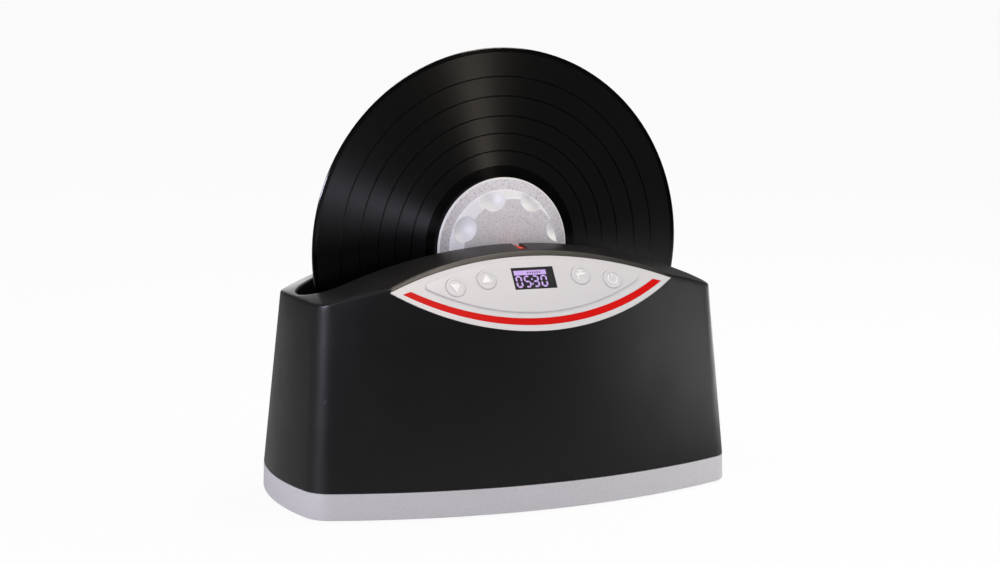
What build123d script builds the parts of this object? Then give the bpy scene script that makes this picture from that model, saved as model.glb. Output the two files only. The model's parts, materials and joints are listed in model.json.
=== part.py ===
"""Ultrasonic record cleaning machine with a record held in its clamp.

Millimetres. Z is up, X runs along the front, and the front faces -Y.
The origin is on the table, under the middle of the base.
"""
import os
from math import acos, asin, atan2, cos, degrees, hypot, pi, radians, sin, sqrt, tan

from build123d import *

# ---------------------------------------------------------------- driving sizes
# Plan outlines of the casing at three levels: half depth, radius of the bowed long
# sides, radius of the bowed ends, radius of the corners. Their length is derived.
FOOT_LEVEL = 1.5
FOOT_PLAN = (93.6, 463.0, 190.0, 23.3)
FOOT_FLARE = 0.2          # the foot's end beyond the base's end
BASE_LEVEL = 21.0
BASE_PLAN = (92.6, 462.0, 186.0, 23.3)
END_DRAFT = 12.5          # the base's end beyond the rim's end
RIM_BELOW_AXIS = 30.0
RIM_PLAN = (85.7, 349.0, 168.6, 18.3)
RIM_BEYOND_SLOT = 5.4     # the rim's end beyond the slot's end

SHELL_WALL = 3.0
BASE_FLOOR = 3.5
BASE_EDGE_ROUND = 1.2
SHADOW_GAP = 0.5          # joint line between the base and the housing
TONGUE_WALL = 1.6         # locating tongue of the base inside the housing
TONGUE_HEIGHT = 4.0
FIT = 0.3                 # clearance between moulded parts that locate each other
LEAST_STRAIGHT = 0.01     # half the shortest straight end of a rounded slot

# Plane of the record, and the crowned, arched top.
RECORD_Y = -2.25
CREST_ABOVE_AXIS = 7.5
ARCH_RADIUS = 388.0
CROWN_RADIUS = 240.0
TOP_EDGE_ROUND = 3.0
SLOT_EDGE_ROUND = 1.5

# Slot in the top, the collar round it and the ledge the tank hangs under.
SLOT_END_STEP = 10.0      # the slot beyond the tank at the ends
SLOT_SIDE_STEP = 2.5      # the slot beyond the tank at the sides
SLOT_CORNER = 27.0
COLLAR_WALL = 4.0
COLLAR_END = 5.0
COLLAR_BELOW_AXIS = 42.0
LEDGE_THICKNESS = 2.5
GASKET_THICKNESS = 1.5
GASKET_WIDTH = 4.0

# Tank.
TANK_END_GAP = 0.2        # from the record's rim, level with its middle
TANK_HALF_WIDTH = 23.5
TANK_CORNER = 22.0
TANK_WALL = 1.5
TANK_FLOOR_Z = 29.0
TANK_FLOOR_GAP = 5.2      # from the floor to the record's rim
TANK_RIM = 7.0            # width of its flange, from the inside of the wall
TANK_EDGE_ROUND = 4.0

# Slanted panel: a point of its plane, its tilt back from vertical, and its lens.
PANEL_BELOW_AXIS = 30.0
PANEL_SET_BACK = 13.55    # from the rim's outline
PANEL_TILT = 34.3
PANEL_SET_IN = 0.3
PANEL_THICKNESS = 2.5
PANEL_LEDGE = 4.0
LENS_TIP = (113.6, 11.3)
LENS_TOP = 35.3
LENS_BOTTOM = -25.6
LENS_GAP = 0.25
PAD_TIP = (90.0, 14.5)
PAD_TOP = 32.0
PAD_BOTTOM = -11.0
PAD_HEIGHT = 1.0
PAD_TIP_ROUND = 3.0
PAD_EDGE_ROUND = 0.6
STRIPE_OUTER_TIP = (104.5, 9.3)
STRIPE_INNER_TIP = (98.0, 11.2)
STRIPE_OUTER_BOTTOM = -20.8
STRIPE_INNER_BOTTOM = -15.4
STRIPE_DEPTH = 0.6
STRIPE_GAP = 0.1

# Buttons, window and what is behind them (places along X and up the panel).
BUTTON_RADIUS = 7.5
BUTTON_GAP = 0.2
BUTTON_PROUD = 0.6
BUTTON_DISH_RADIUS = 6.0
BUTTON_DISH_DEPTH = 0.35
BUTTON_FLANGE = 1.2
BUTTON_FLANGE_THICKNESS = 1.0
BUTTON_TRAVEL = 0.8
BUTTON_STEM_RADIUS = 1.6
BUTTON_EDGE_ROUND = 0.6
OUTER_BUTTON = (63.5, 12.2)
INNER_BUTTON = (38.0, 16.8)
WINDOW_WIDTH = 34.0
WINDOW_HEIGHT = 17.8
WINDOW_CENTRE = 16.6
WINDOW_THICKNESS = 1.5
WINDOW_LEDGE = 1.5
BOARD_THICKNESS = 1.6
BUTTON_BOARD_DEPTH = 9.0  # from the panel's face to the board's face
BUTTON_BOARD_HALF = 73.0
BUTTON_BOARD_LOW = 3.0
BUTTON_BOARD_HIGH = 20.0
DISPLAY_WIDTH = 38.0
DISPLAY_HEIGHT = 24.0
SWITCH_WIDTH = 6.0
SWITCH_HEIGHT = 2.5
SWITCH_PLAY = 1.0         # left below the stem when a button is pressed home
POST_RADIUS = 2.2
POST_UP = 7.0

# Record.
RECORD_RADIUS = 150.8
RECORD_HOLE = 3.62
RECORD_HALF_LABEL = 1.0
RECORD_HALF_GROOVES = 0.75
RECORD_HALF_BEAD = 0.95
RECORD_BEAD_WIDTH = 3.5
LABEL_ZONE = 53.5

# Label clamp: measured outwards from the record's middle plane.
SEAL_INNER = 44.0
SEAL_OUTER = 51.5
SEAL_THICKNESS = 1.6
FLANGE_RADIUS = 53.2
FLANGE_THICKNESS = 2.5
FLANGE_BEVEL = 1.2
KNOB_BASE_RADIUS = 44.2
KNOB_FACE_RADIUS = 39.0
KNOB_FACE = 20.0
KNOB_EDGE = 0.4
KNOB_SHELL = 3.0
KNOB_HOLLOW_RADIUS = 29.0
HUB_RADIUS = 8.0
SCOOPS = 8
SCOOP_RADIUS = 10.8
SCOOP_AT = (42.2, 16.4)   # radius from the axis, distance from the record
SCOOP_FIRST_ANGLE = 20.5
CAP_RADIUS = 25.0
CAP_DEPTH = 1.5
CAP_GAP = 0.15

# Spindle, axle and its bearing sleeves.
SPINDLE_RADIUS = 3.55
SPINDLE_HALF_LENGTH = 22.0
SPINDLE_CLEARANCE = 0.05
AXLE_RADIUS = 1.5
BORE_EASE = 0.02
BUSH_RADIUS = 3.45
BUSH_RISE = 0.85          # height of the flats between its round top and bottom
BUSH_BORE_CLEARANCE = 0.05
BUSH_START = 24.0
FRONT_BUSH_END = 42.0
NOTCH_CLEARANCE = 0.15
NOTCH_END_CLEARANCE = 0.5
NOTCH_BOSS = 4.0          # solid plastic round the notch

# Drive in the rear lip.
GEAR_MODULE = 0.8
SPINDLE_TEETH = 20
PINION_TEETH = 16
PRESSURE_ANGLE = 20.0
BACKLASH = 0.12
ROOT_FLARE = 0.3          # widening of a tooth at its root, in modules
REAR_BUSH_END = 39.0
GEAR_START = 41.0
GEAR_WIDTH = 5.0
GEAR_SIDE_GAP = 1.0
GEAR_POCKET_GAP = 1.4
POCKET_WALL = 2.5
SHAFT_RADIUS = 1.5
SHAFT_RUNNING = 0.06
SHAFT_IN_GEARBOX = 5.0
GEARBOX = (12.0, 10.0, 10.0)   # X, Y and Z
MOTOR_RADIUS = 6.0
MOTOR_FLAT = 5.0
MOTOR_LENGTH = 11.0
MOTOR_TERMINAL = 2.0
BRACKET_PLATE = 1.5
BRACKET_WALL = 1.5
BRACKET_HALF_WIDTH = 13.0
MOTOR_SCREW_X = 10.0
M2_RADIUS = 1.0
M2_HEAD = 1.9
M2_HEAD_HEIGHT = 1.3
M2_LENGTH = 6.0

# Sound heads on the tank's long walls.
HEAD_X = 75.0
HEAD_Z = 85.0
HORN_RADIUS = 20.0
HORN_NECK_RADIUS = 17.0
HORN_LENGTH = 18.0
PIEZO_RADIUS = 17.5
PIEZO_THICKNESS = 4.0
ELECTRODE_STEP = 1.0
BACK_RADIUS = 17.0
BACK_LENGTH = 12.0
HEAD_BOLT_RADIUS = 5.0
HEAD_BOLT_HEIGHT = 3.0

# Drain and power inlet, side by side in a bay in the rear wall.
BAY_X = (45.0, 104.0)
BAY_Z = (26.0, 62.0)
BAY_FLOOR_Y = 66.0
BAY_WALL = 2.5
DRAIN_X = 88.0
DRAIN_Z = 37.0
DRAIN_BORE = 2.5
SPIGOT_RADIUS = 4.0
SPIGOT_LENGTH = 12.0
SPIGOT_FLANGE = 8.0
SPIGOT_FLANGE_THICKNESS = 2.0
OUTLET_FLANGE = 7.5
OUTLET_LENGTH = 11.0
VALVE_HALF = 8.0
VALVE_LENGTH = 22.0
COIL_RADIUS = 8.5
COIL_HEIGHT = 16.0
SOCKET_X = 61.0
SOCKET_Z = 44.0
SOCKET_BODY = 5.5
SOCKET_FLANGE = 7.0
SOCKET_FLANGE_THICKNESS = 2.0
SOCKET_DEPTH = 11.0
SOCKET_BORE = 2.75
SOCKET_PIN = 1.05
NUT_ACROSS = 14.0
NUT_THICKNESS = 2.5

# Boards on the base floor.
STANDOFF_HEIGHT = 4.0
STANDOFF_RADIUS = 3.2
BOARD_SCREW_INSET = 5.0
M25_RADIUS = 1.25
M25_HEAD = 2.3
M25_HEAD_HEIGHT = 1.4
MAIN_BOARD = (-62.0, 62.0, -80.0, -40.0)
DRIVER_BOARD = (-95.0, -15.0, 38.0, 76.0)
PART_GAP = 8.0            # between components along a board
PROCESSOR = (14.0, 14.0, 1.6)
DRIVER_CHIP = (10.0, 8.0, 1.8)
MAIN_CAN = (4.0, 12.0)    # radius and height
MAIN_CANS = 3
PLUG = (14.0, 6.0, 8.0)
PLUGS = 4
TRANSFORMER = (22.0, 20.0, 18.0)
DRIVER_CAN = (6.0, 16.0)
COOLER = (16.0, 24.0, 3.0)
COOLER_FINS = 4
COOLER_FIN = (1.6, 15.0)  # thickness and height above the board

# Base: feet, screws, saddles under the tank and air slots.
FEET_INSET = (38.9, 40.6) # from the base's outline, at the ends and the sides
FOOT_RADIUS = 9.0
FOOT_RECESS = 1.5
BASE_SCREW_RADIUS = 1.5
BASE_SCREW_HEAD = 3.3
BASE_SCREW_HEAD_HEIGHT = 1.8
BASE_SCREW_LENGTH = 16.0
SCREW_CLEARANCE = 0.05
BOSS_RADIUS = 6.0
BOSS_INSET = 8.5          # boss centre, in from the outline
BOSS_TOP = 60.0
SADDLE_X = 108.0
SADDLE_THICKNESS = 3.0
AIR_SLOTS = 7
AIR_SLOT_PITCH = 9.0
AIR_SLOT_WIDTH = 3.0
AIR_SLOT_LENGTH = 30.0
AIR_SLOT_X = 20.0
AIR_SLOT_Y = 58.0

# ---------------------------------------------------------------- derived places
# The tank is as long and as deep as the record needs, and the casing goes round it.
AXIS_Z = TANK_FLOOR_Z + TANK_FLOOR_GAP + RECORD_RADIUS
TANK_HALF_LENGTH = RECORD_RADIUS + TANK_END_GAP
SLOT_HALF_LENGTH = TANK_HALF_LENGTH + SLOT_END_STEP
SLOT_HALF_WIDTH = TANK_HALF_WIDTH + SLOT_SIDE_STEP
COLLAR_BOTTOM = AXIS_Z - COLLAR_BELOW_AXIS
RIM_LEVEL = AXIS_Z - RIM_BELOW_AXIS
RIM_OUTLINE = (SLOT_HALF_LENGTH + RIM_BEYOND_SLOT, *RIM_PLAN)
BASE_OUTLINE = (RIM_OUTLINE[0] + END_DRAFT, *BASE_PLAN)
FOOT_OUTLINE = (BASE_OUTLINE[0] + FOOT_FLARE, *FOOT_PLAN)
PANEL_Z = AXIS_Z - PANEL_BELOW_AXIS
PANEL_Y = PANEL_SET_BACK - RIM_OUTLINE[1]
PANEL = Plane(
    origin=(0, PANEL_Y, PANEL_Z),
    x_dir=(1, 0, 0),
    z_dir=(0, -cos(radians(PANEL_TILT)), sin(radians(PANEL_TILT))),
)
FLANGE_START = RECORD_HALF_LABEL + SEAL_THICKNESS
KNOB_START = FLANGE_START + FLANGE_THICKNESS
GEAR_CENTRES = GEAR_MODULE * (SPINDLE_TEETH + PINION_TEETH) / 2
PINION_Z = AXIS_Z - GEAR_CENTRES
GEAR_END = GEAR_START + GEAR_WIDTH
POCKET_START = GEAR_START - GEAR_SIDE_GAP
POCKET_END = GEAR_END + GEAR_SIDE_GAP + 1
MOTOR_FACE = POCKET_END + POCKET_WALL
BASE_FLOOR_TOP = FOOT_LEVEL + BASE_FLOOR
BASE_WALL = SHELL_WALL + FIT + TONGUE_WALL
JOINT_TOP = BASE_LEVEL + SHADOW_GAP
TANK_TOP = COLLAR_BOTTOM - GASKET_THICKNESS
TANK_BOTTOM = TANK_FLOOR_Z - TANK_WALL
TANK_FACE = TANK_HALF_WIDTH + TANK_WALL     # outside of a long wall, from the record
BOARD_Z = BASE_FLOOR_TOP + STANDOFF_HEIGHT
BUTTONS = {
    "down_button": (-OUTER_BUTTON[0], OUTER_BUTTON[1]),
    "up_button": (-INNER_BUTTON[0], INNER_BUTTON[1]),
    "tap_button": INNER_BUTTON,
    "power_button": OUTER_BUTTON,
}


# ---------------------------------------------------------------- shape helpers
def block(x, y, z):
    """Block between two values on each axis."""
    size = Box(x[1] - x[0], y[1] - y[0], z[1] - z[0])
    return Pos(sum(x) / 2, sum(y) / 2, sum(z) / 2) * size


def upright(x, y, radius, z0, z1):
    """Cylinder along Z."""
    return Pos(x, y, (z0 + z1) / 2) * Cylinder(radius, z1 - z0)


def level_rod(x, z, radius, y0, y1):
    """Cylinder along Y."""
    return Pos(x, (y0 + y1) / 2, z) * Rot(90, 0, 0) * Cylinder(radius, abs(y1 - y0))


def on_axis(side, radius, start, end):
    """Cylinder on the record's axis; side is -1 for the front and 1 for the rear."""
    return level_rod(0, AXIS_Z, radius, RECORD_Y + side * start, RECORD_Y + side * end)


def turned(side, points):
    """Profile of (radius, distance from the record) turned about the record's axis."""
    outline = make_face(Polyline(*[(r, side * d) for r, d in points], close=True))
    return Pos(0, RECORD_Y, AXIS_Z) * revolve(outline, Axis.Y)


def on_panel(face, low, high):
    """Prism of a face drawn on the panel, between two heights above its plane."""
    return PANEL * (Pos(0, 0, low) * extrude(face, high - low))


def rounded_slab(half_length, half_width, corner, z0, z1):
    """Upright prism with rounded corners, centred on the record's plane."""
    radius = min(corner, half_width - LEAST_STRAIGHT)
    plan = RectangleRounded(2 * half_length, 2 * half_width, radius)
    return Pos(0, RECORD_Y, z0) * extrude(plan, z1 - z0)


# ---------------------------------------------------------------- bowed casing
def outline_at(z, inset=0.0):
    """The five outline sizes at a height, from the base joint and rim outlines."""
    share = (z - BASE_LEVEL) / (RIM_LEVEL - BASE_LEVEL)
    return [low + (high - low) * share - inset for low, high in zip(BASE_OUTLINE, RIM_OUTLINE)]


def corner_centre(half_length, half_depth, side_bow, end_bow, corner):
    """Centre of the corner arc that touches the side arc and the end arc from inside."""
    side_y = side_bow - half_depth
    end_x = half_length - end_bow
    reach_side = side_bow - corner
    reach_end = end_bow - corner
    span = hypot(end_x, side_y)
    along = (reach_side**2 - reach_end**2 + span**2) / (2 * span)
    across = sqrt(reach_side**2 - along**2)
    dx, dy = end_x / span, -side_y / span
    return along * dx - across * dy, side_y + along * dy + across * dx


def plan_wire(sizes, z):
    """Closed plan outline of eight arcs at a height."""
    half_length, half_depth, side_bow, end_bow, corner = sizes
    cx, cy = corner_centre(*sizes)
    side_angle = atan2(cy - (side_bow - half_depth), cx)
    end_angle = atan2(cy, cx - (half_length - end_bow))
    if end_angle > 0:
        end_angle -= 2 * pi
    middle = (side_angle + end_angle) / 2
    side = (cx + corner * cos(side_angle), cy + corner * sin(side_angle))
    end = (cx + corner * cos(end_angle), cy + corner * sin(end_angle))
    bend = (cx + corner * cos(middle), cy + corner * sin(middle))

    def at(point, sx, sy):
        return (sx * point[0], sy * point[1], z)

    arcs = [ThreePointArc(at(side, -1, 1), (0, -half_depth, z), at(side, 1, 1))]
    arcs.append(ThreePointArc(at(side, 1, 1), at(bend, 1, 1), at(end, 1, 1)))
    arcs.append(ThreePointArc(at(end, 1, 1), (half_length, 0, z), at(end, 1, -1)))
    arcs.append(ThreePointArc(at(end, 1, -1), at(bend, 1, -1), at(side, 1, -1)))
    arcs.append(ThreePointArc(at(side, 1, -1), (0, half_depth, z), at(side, -1, -1)))
    arcs.append(ThreePointArc(at(side, -1, -1), at(bend, -1, -1), at(end, -1, -1)))
    arcs.append(ThreePointArc(at(end, -1, -1), (-half_length, 0, z), at(end, -1, 1)))
    arcs.append(ThreePointArc(at(end, -1, 1), at(bend, -1, 1), at(side, -1, 1)))
    return Wire(arcs)


def drafted(sizes_low, z_low, sizes_high, z_high):
    """Drafted bowed body between two plan outlines."""
    return loft([Face(plan_wire(sizes_low, z_low)), Face(plan_wire(sizes_high, z_high))], ruled=True)


def casing(z_low, inset):
    """Drafted body of the housing from a height up to well above its top."""
    z_high = AXIS_Z + 2 * CREST_ABOVE_AXIS
    return drafted(outline_at(z_low, inset), z_low, outline_at(z_high, inset), z_high)


def above_top(drop):
    """What lies above the arched and crowned top, lowered by drop."""
    crest = AXIS_Z + CREST_ABOVE_AXIS - drop
    reach = 2 * BASE_OUTLINE[1]
    crown = CROWN_RADIUS - sqrt(CROWN_RADIUS**2 - reach**2)
    arc = ThreePointArc((-reach, crest - crown), (0, crest), (reach, crest - crown))
    lid = Polyline((reach, crest - crown), (reach, crest + reach), (-reach, crest + reach),
                   (-reach, crest - crown))
    face = Plane.YZ * make_face([arc, lid])
    spin = Axis((0, 0, crest - ARCH_RADIUS), (0, 1, 0))
    swing = 1.2 * degrees(asin(BASE_OUTLINE[0] / ARCH_RADIUS))
    sheet = revolve(face.rotate(spin, -swing), spin, 2 * swing)
    return Pos(0, RECORD_Y, 0) * sheet


def outside_panel(depth):
    """What lies outside the plane parallel to the panel, depth below its facet."""
    reach = 2 * BASE_OUTLINE[0]
    face = Rectangle(reach, reach)
    return on_panel(face, PANEL_SET_IN - depth, PANEL_SET_IN + reach)


def lens(tip, top, bottom):
    """Lens between two arcs that meet at the tips."""
    upper = ThreePointArc((-tip[0], tip[1]), (0, top), tip)
    lower = ThreePointArc(tip, (0, bottom), (-tip[0], tip[1]))
    return make_face([upper, lower])


def panel_lens(grow=0.0):
    face = lens(LENS_TIP, LENS_TOP, LENS_BOTTOM)
    if grow:
        face = offset(face, grow, kind=Kind.INTERSECTION)
    return face


def boss_places():
    """Centres of the four screw bosses, in the corners of the casing."""
    sizes = outline_at(BASE_LEVEL)
    cx, cy = corner_centre(*sizes)
    reach = (sizes[4] - BOSS_INSET) / sqrt(2)
    return [(sx * (cx + reach), sy * (cy - reach)) for sx in (-1, 1) for sy in (-1, 1)]


def notch(side, end):
    """Round-bottomed groove across a lip, open upwards, for a bearing sleeve."""
    half = BUSH_RADIUS + NOTCH_CLEARANCE
    y0, y1 = sorted((RECORD_Y, RECORD_Y + side * end))
    mouth = block((-half, half), (y0, y1), (AXIS_Z, AXIS_Z + 4 * CREST_ABOVE_AXIS))
    return mouth + level_rod(0, AXIS_Z, half, y0, y1)


def gear_pocket():
    """Pocket in the rear lip, open upwards, for the gear pair, and the shaft's hole."""
    half = GEAR_MODULE * (SPINDLE_TEETH / 2 + 1) + GEAR_POCKET_GAP
    low = PINION_Z - GEAR_MODULE * (PINION_TEETH / 2 + 1) - GEAR_POCKET_GAP
    y = (RECORD_Y + POCKET_START, RECORD_Y + POCKET_END)
    well = block((-half, half), y, (low, AXIS_Z + 4 * CREST_ABOVE_AXIS))
    return well + level_rod(0, PINION_Z, SHAFT_RADIUS + FIT, y[0], RECORD_Y + MOTOR_FACE)


def lip_bosses():
    """Solid plastic round the notches and the gear pocket."""
    half = BUSH_RADIUS + NOTCH_CLEARANCE + NOTCH_BOSS
    front_end = RECORD_Y - FRONT_BUSH_END - NOTCH_END_CLEARANCE - NOTCH_BOSS
    front = block((-half, half), (front_end, RECORD_Y), (AXIS_Z - 2 * NOTCH_BOSS, 2 * AXIS_Z))
    rear = block((-BRACKET_HALF_WIDTH, BRACKET_HALF_WIDTH), (RECORD_Y, RECORD_Y + MOTOR_FACE),
                 (PINION_Z - GEARBOX[2], 2 * AXIS_Z))
    return front + rear


def bay_block(grow):
    """Block of the rear bay, grown by a wall and open to the rear."""
    return block((BAY_X[0] - grow, BAY_X[1] + grow), (BAY_FLOOR_Y - grow, 2 * BASE_OUTLINE[1]),
                 (BAY_Z[0] - grow, BAY_Z[1] + grow))


def top_edges(body):
    """Edges of the arched, crowned top face."""
    crowned = [face for face in body.faces() if face.geom_type == GeomType.REVOLUTION]
    return crowned[0].edges()


def moulded_outside():
    """Outside of the housing with its facet, its slot and all its rounded edges."""
    body = casing(JOINT_TOP, 0) - above_top(0) - outside_panel(0)
    body = fillet(top_edges(body), TOP_EDGE_ROUND)
    body -= rounded_slab(SLOT_HALF_LENGTH, SLOT_HALF_WIDTH, SLOT_CORNER,
                         COLLAR_BOTTOM + LEDGE_THICKNESS, 2 * AXIS_Z)
    slot_edges = [
        edge for edge in top_edges(body)
        if abs(edge.center().X) <= SLOT_HALF_LENGTH + FIT
        and abs(edge.center().Y - RECORD_Y) <= SLOT_HALF_WIDTH + FIT
    ]
    return fillet(slot_edges, SLOT_EDGE_ROUND)


def hollow():
    """Space inside the housing, round the collar, the bosses and the rear bay."""
    space = casing(JOINT_TOP - SHELL_WALL, SHELL_WALL) - above_top(SHELL_WALL)
    space -= outside_panel(PANEL_SET_IN + PANEL_THICKNESS + SHELL_WALL)
    space -= rounded_slab(SLOT_HALF_LENGTH + COLLAR_END, SLOT_HALF_WIDTH + COLLAR_WALL,
                          SLOT_CORNER + COLLAR_WALL, COLLAR_BOTTOM, 2 * AXIS_Z)
    space -= lip_bosses()
    space -= bay_block(BAY_WALL)
    for x, y in boss_places():
        space -= upright(x, y, BOSS_RADIUS, 0, BOSS_TOP)
    return space


def housing_shell():
    """Upper casing: bowed drafted walls under an arched top, with slot, collar and facet."""
    shell = moulded_outside() - hollow()
    for x, y in boss_places():
        foot = drafted([size - BASE_WALL - FIT for size in FOOT_OUTLINE], BASE_FLOOR_TOP,
                       outline_at(JOINT_TOP, BASE_WALL + FIT), JOINT_TOP)
        shell += upright(x, y, BOSS_RADIUS, BASE_FLOOR_TOP, JOINT_TOP) & foot
        shell -= upright(x, y, BASE_SCREW_RADIUS + SCREW_CLEARANCE, 0,
                         FOOT_LEVEL + BASE_SCREW_LENGTH + BASE_FLOOR)
    shell -= rounded_slab(TANK_HALF_LENGTH, TANK_HALF_WIDTH, TANK_CORNER, COLLAR_BOTTOM, AXIS_Z)
    shell -= on_panel(panel_lens(LENS_GAP), -PANEL_THICKNESS, PANEL_THICKNESS)
    shell -= on_panel(panel_lens(-PANEL_LEDGE), -4 * PANEL_THICKNESS, 0)
    shell -= notch(-1, FRONT_BUSH_END + NOTCH_END_CLEARANCE)
    shell -= notch(1, POCKET_START)
    shell -= gear_pocket()
    for x in (-MOTOR_SCREW_X, MOTOR_SCREW_X):
        shell -= level_rod(x, PINION_Z, M2_RADIUS + SCREW_CLEARANCE,
                           RECORD_Y + MOTOR_FACE - M2_LENGTH, RECORD_Y + MOTOR_FACE + 1)
    shell -= bay_block(0)
    shell -= level_rod(DRAIN_X, DRAIN_Z, SPIGOT_RADIUS + FIT, BAY_FLOOR_Y - 2 * BAY_WALL, BAY_FLOOR_Y)
    shell -= level_rod(SOCKET_X, SOCKET_Z, SOCKET_BODY + FIT, BAY_FLOOR_Y - 2 * BAY_WALL, BAY_FLOOR_Y)
    return shell


def board_corners(rect):
    """Places of a board's four screws; rect is low x, high x, low y, high y."""
    xs = (rect[0] + BOARD_SCREW_INSET, rect[1] - BOARD_SCREW_INSET)
    ys = (rect[2] + BOARD_SCREW_INSET, rect[3] - BOARD_SCREW_INSET)
    return [(x, y) for x in xs for y in ys]


def foot_places():
    x, y = (size - inset for size, inset in zip(BASE_OUTLINE, FEET_INSET))
    return [(sx * x, sy * y) for sx in (-1, 1) for sy in (-1, 1)]


def base_tray():
    """Silver-grey tray: bowed skirt, floor, locating tongue, standoffs and tank saddles."""
    body = drafted(FOOT_OUTLINE, FOOT_LEVEL, BASE_OUTLINE, BASE_LEVEL)
    body = fillet(body.edges().group_by(Axis.Z)[0], BASE_EDGE_ROUND)
    tongue_top = JOINT_TOP + TONGUE_HEIGHT
    body += drafted(outline_at(BASE_LEVEL, SHELL_WALL + FIT), BASE_LEVEL,
                    outline_at(tongue_top, SHELL_WALL + FIT), tongue_top)
    body -= drafted([size - BASE_WALL for size in FOOT_OUTLINE], BASE_FLOOR_TOP,
                    outline_at(tongue_top, BASE_WALL), tongue_top)
    for x, y in boss_places():
        body -= upright(x, y, BASE_SCREW_RADIUS + FIT, 0, BASE_FLOOR_TOP)
        body -= upright(x, y, BASE_SCREW_HEAD + FIT, 0, FOOT_LEVEL + BASE_SCREW_HEAD_HEIGHT)
        body -= upright(x, y, BOSS_RADIUS + FIT, JOINT_TOP - SHELL_WALL, tongue_top)
    body -= bay_block(BAY_WALL + FIT)
    for x, y in foot_places():
        body -= upright(x, y, FOOT_RADIUS + FIT, 0, FOOT_LEVEL + FOOT_RECESS)
    for rect in (MAIN_BOARD, DRIVER_BOARD):
        for x, y in board_corners(rect):
            body += upright(x, y, STANDOFF_RADIUS, BASE_FLOOR_TOP, BOARD_Z)
            body -= upright(x, y, M25_RADIUS + SCREW_CLEARANCE, BASE_FLOOR_TOP - 1, BOARD_Z)
    for x in (-SADDLE_X, SADDLE_X):
        body += block((x - SADDLE_THICKNESS / 2, x + SADDLE_THICKNESS / 2),
                      (RECORD_Y - TANK_HALF_WIDTH, RECORD_Y + TANK_HALF_WIDTH),
                      (BASE_FLOOR_TOP, TANK_BOTTOM))
    for i in range(AIR_SLOTS):
        x = AIR_SLOT_X + i * AIR_SLOT_PITCH
        slot = SlotOverall(AIR_SLOT_LENGTH, AIR_SLOT_WIDTH, rotation=90)
        body -= Pos(x, AIR_SLOT_Y, 0) * extrude(slot, BASE_FLOOR_TOP)
    return body


def rubber_feet():
    return [upright(x, y, FOOT_RADIUS, 0, FOOT_LEVEL + FOOT_RECESS) for x, y in foot_places()]


def base_screws():
    """Four screws up through the base into the housing's corner bosses."""
    seat = FOOT_LEVEL + BASE_SCREW_HEAD_HEIGHT
    head_low = FOOT_LEVEL + FIT / 2
    screws = []
    for x, y in boss_places():
        head = upright(x, y, BASE_SCREW_HEAD, head_low, seat)
        screws.append(head + upright(x, y, BASE_SCREW_RADIUS, seat, FOOT_LEVEL + BASE_SCREW_LENGTH))
    return screws


# ---------------------------------------------------------------- tank and sound heads
def tank():
    """Steel trough with a rolled bottom edge and a flange round its top."""
    body = rounded_slab(TANK_HALF_LENGTH + TANK_WALL, TANK_FACE, TANK_CORNER + TANK_WALL,
                        TANK_BOTTOM, TANK_TOP)
    body = fillet(body.edges().group_by(Axis.Z)[0], TANK_EDGE_ROUND + TANK_WALL)
    body += rounded_slab(TANK_HALF_LENGTH + TANK_RIM, TANK_HALF_WIDTH + TANK_RIM,
                         TANK_CORNER + TANK_RIM, TANK_TOP - TANK_WALL, TANK_TOP)
    inside = rounded_slab(TANK_HALF_LENGTH, TANK_HALF_WIDTH, TANK_CORNER, TANK_FLOOR_Z, TANK_TOP)
    body -= fillet(inside.edges().group_by(Axis.Z)[0], TANK_EDGE_ROUND)
    return body - level_rod(DRAIN_X, DRAIN_Z, DRAIN_BORE, RECORD_Y, RECORD_Y + TANK_FACE + 1)


def tank_gasket():
    low = TANK_HALF_LENGTH + TANK_RIM - GASKET_WIDTH - TANK_WALL
    inner_width = TANK_HALF_WIDTH + TANK_RIM - GASKET_WIDTH - TANK_WALL
    outer = rounded_slab(low + GASKET_WIDTH, inner_width + GASKET_WIDTH,
                         TANK_CORNER + GASKET_WIDTH, TANK_TOP, COLLAR_BOTTOM)
    return outer - rounded_slab(low, inner_width, TANK_CORNER, TANK_TOP, COLLAR_BOTTOM)


def head_part(points):
    """A turned part of the sound heads, once for each of the four heads."""
    parts = []
    for side in (-1, 1):
        for x in (-HEAD_X, HEAD_X):
            outline = make_face(Polyline(*[(r, side * d) for r, d in points], close=True))
            spun = revolve(outline, Axis.Y)
            parts.append(Pos(x, RECORD_Y + side * TANK_FACE, HEAD_Z) * spun)
    return parts


def transducer_horns():
    neck = HORN_LENGTH / 3
    return head_part([(0, 0), (HORN_RADIUS, 0), (HORN_RADIUS, neck),
                      (HORN_NECK_RADIUS, HORN_LENGTH), (0, HORN_LENGTH)])


def piezo_stacks():
    """Two ceramic rings with an electrode between them that stands out a little."""
    a = HORN_LENGTH
    b = a + PIEZO_THICKNESS
    edge = PIEZO_RADIUS - ELECTRODE_STEP
    thin = ELECTRODE_STEP / 4
    c = b + PIEZO_THICKNESS
    return head_part([(0, a), (edge, a), (edge, b - thin), (PIEZO_RADIUS, b - thin),
                      (PIEZO_RADIUS, b + thin), (edge, b + thin), (edge, c), (0, c)])


def transducer_weights():
    a = HORN_LENGTH + 2 * PIEZO_THICKNESS
    b = a + BACK_LENGTH
    c = b + HEAD_BOLT_HEIGHT
    return head_part([(0, a), (BACK_RADIUS, a), (BACK_RADIUS, b), (HEAD_BOLT_RADIUS, b),
                      (HEAD_BOLT_RADIUS, c), (0, c)])


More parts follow.
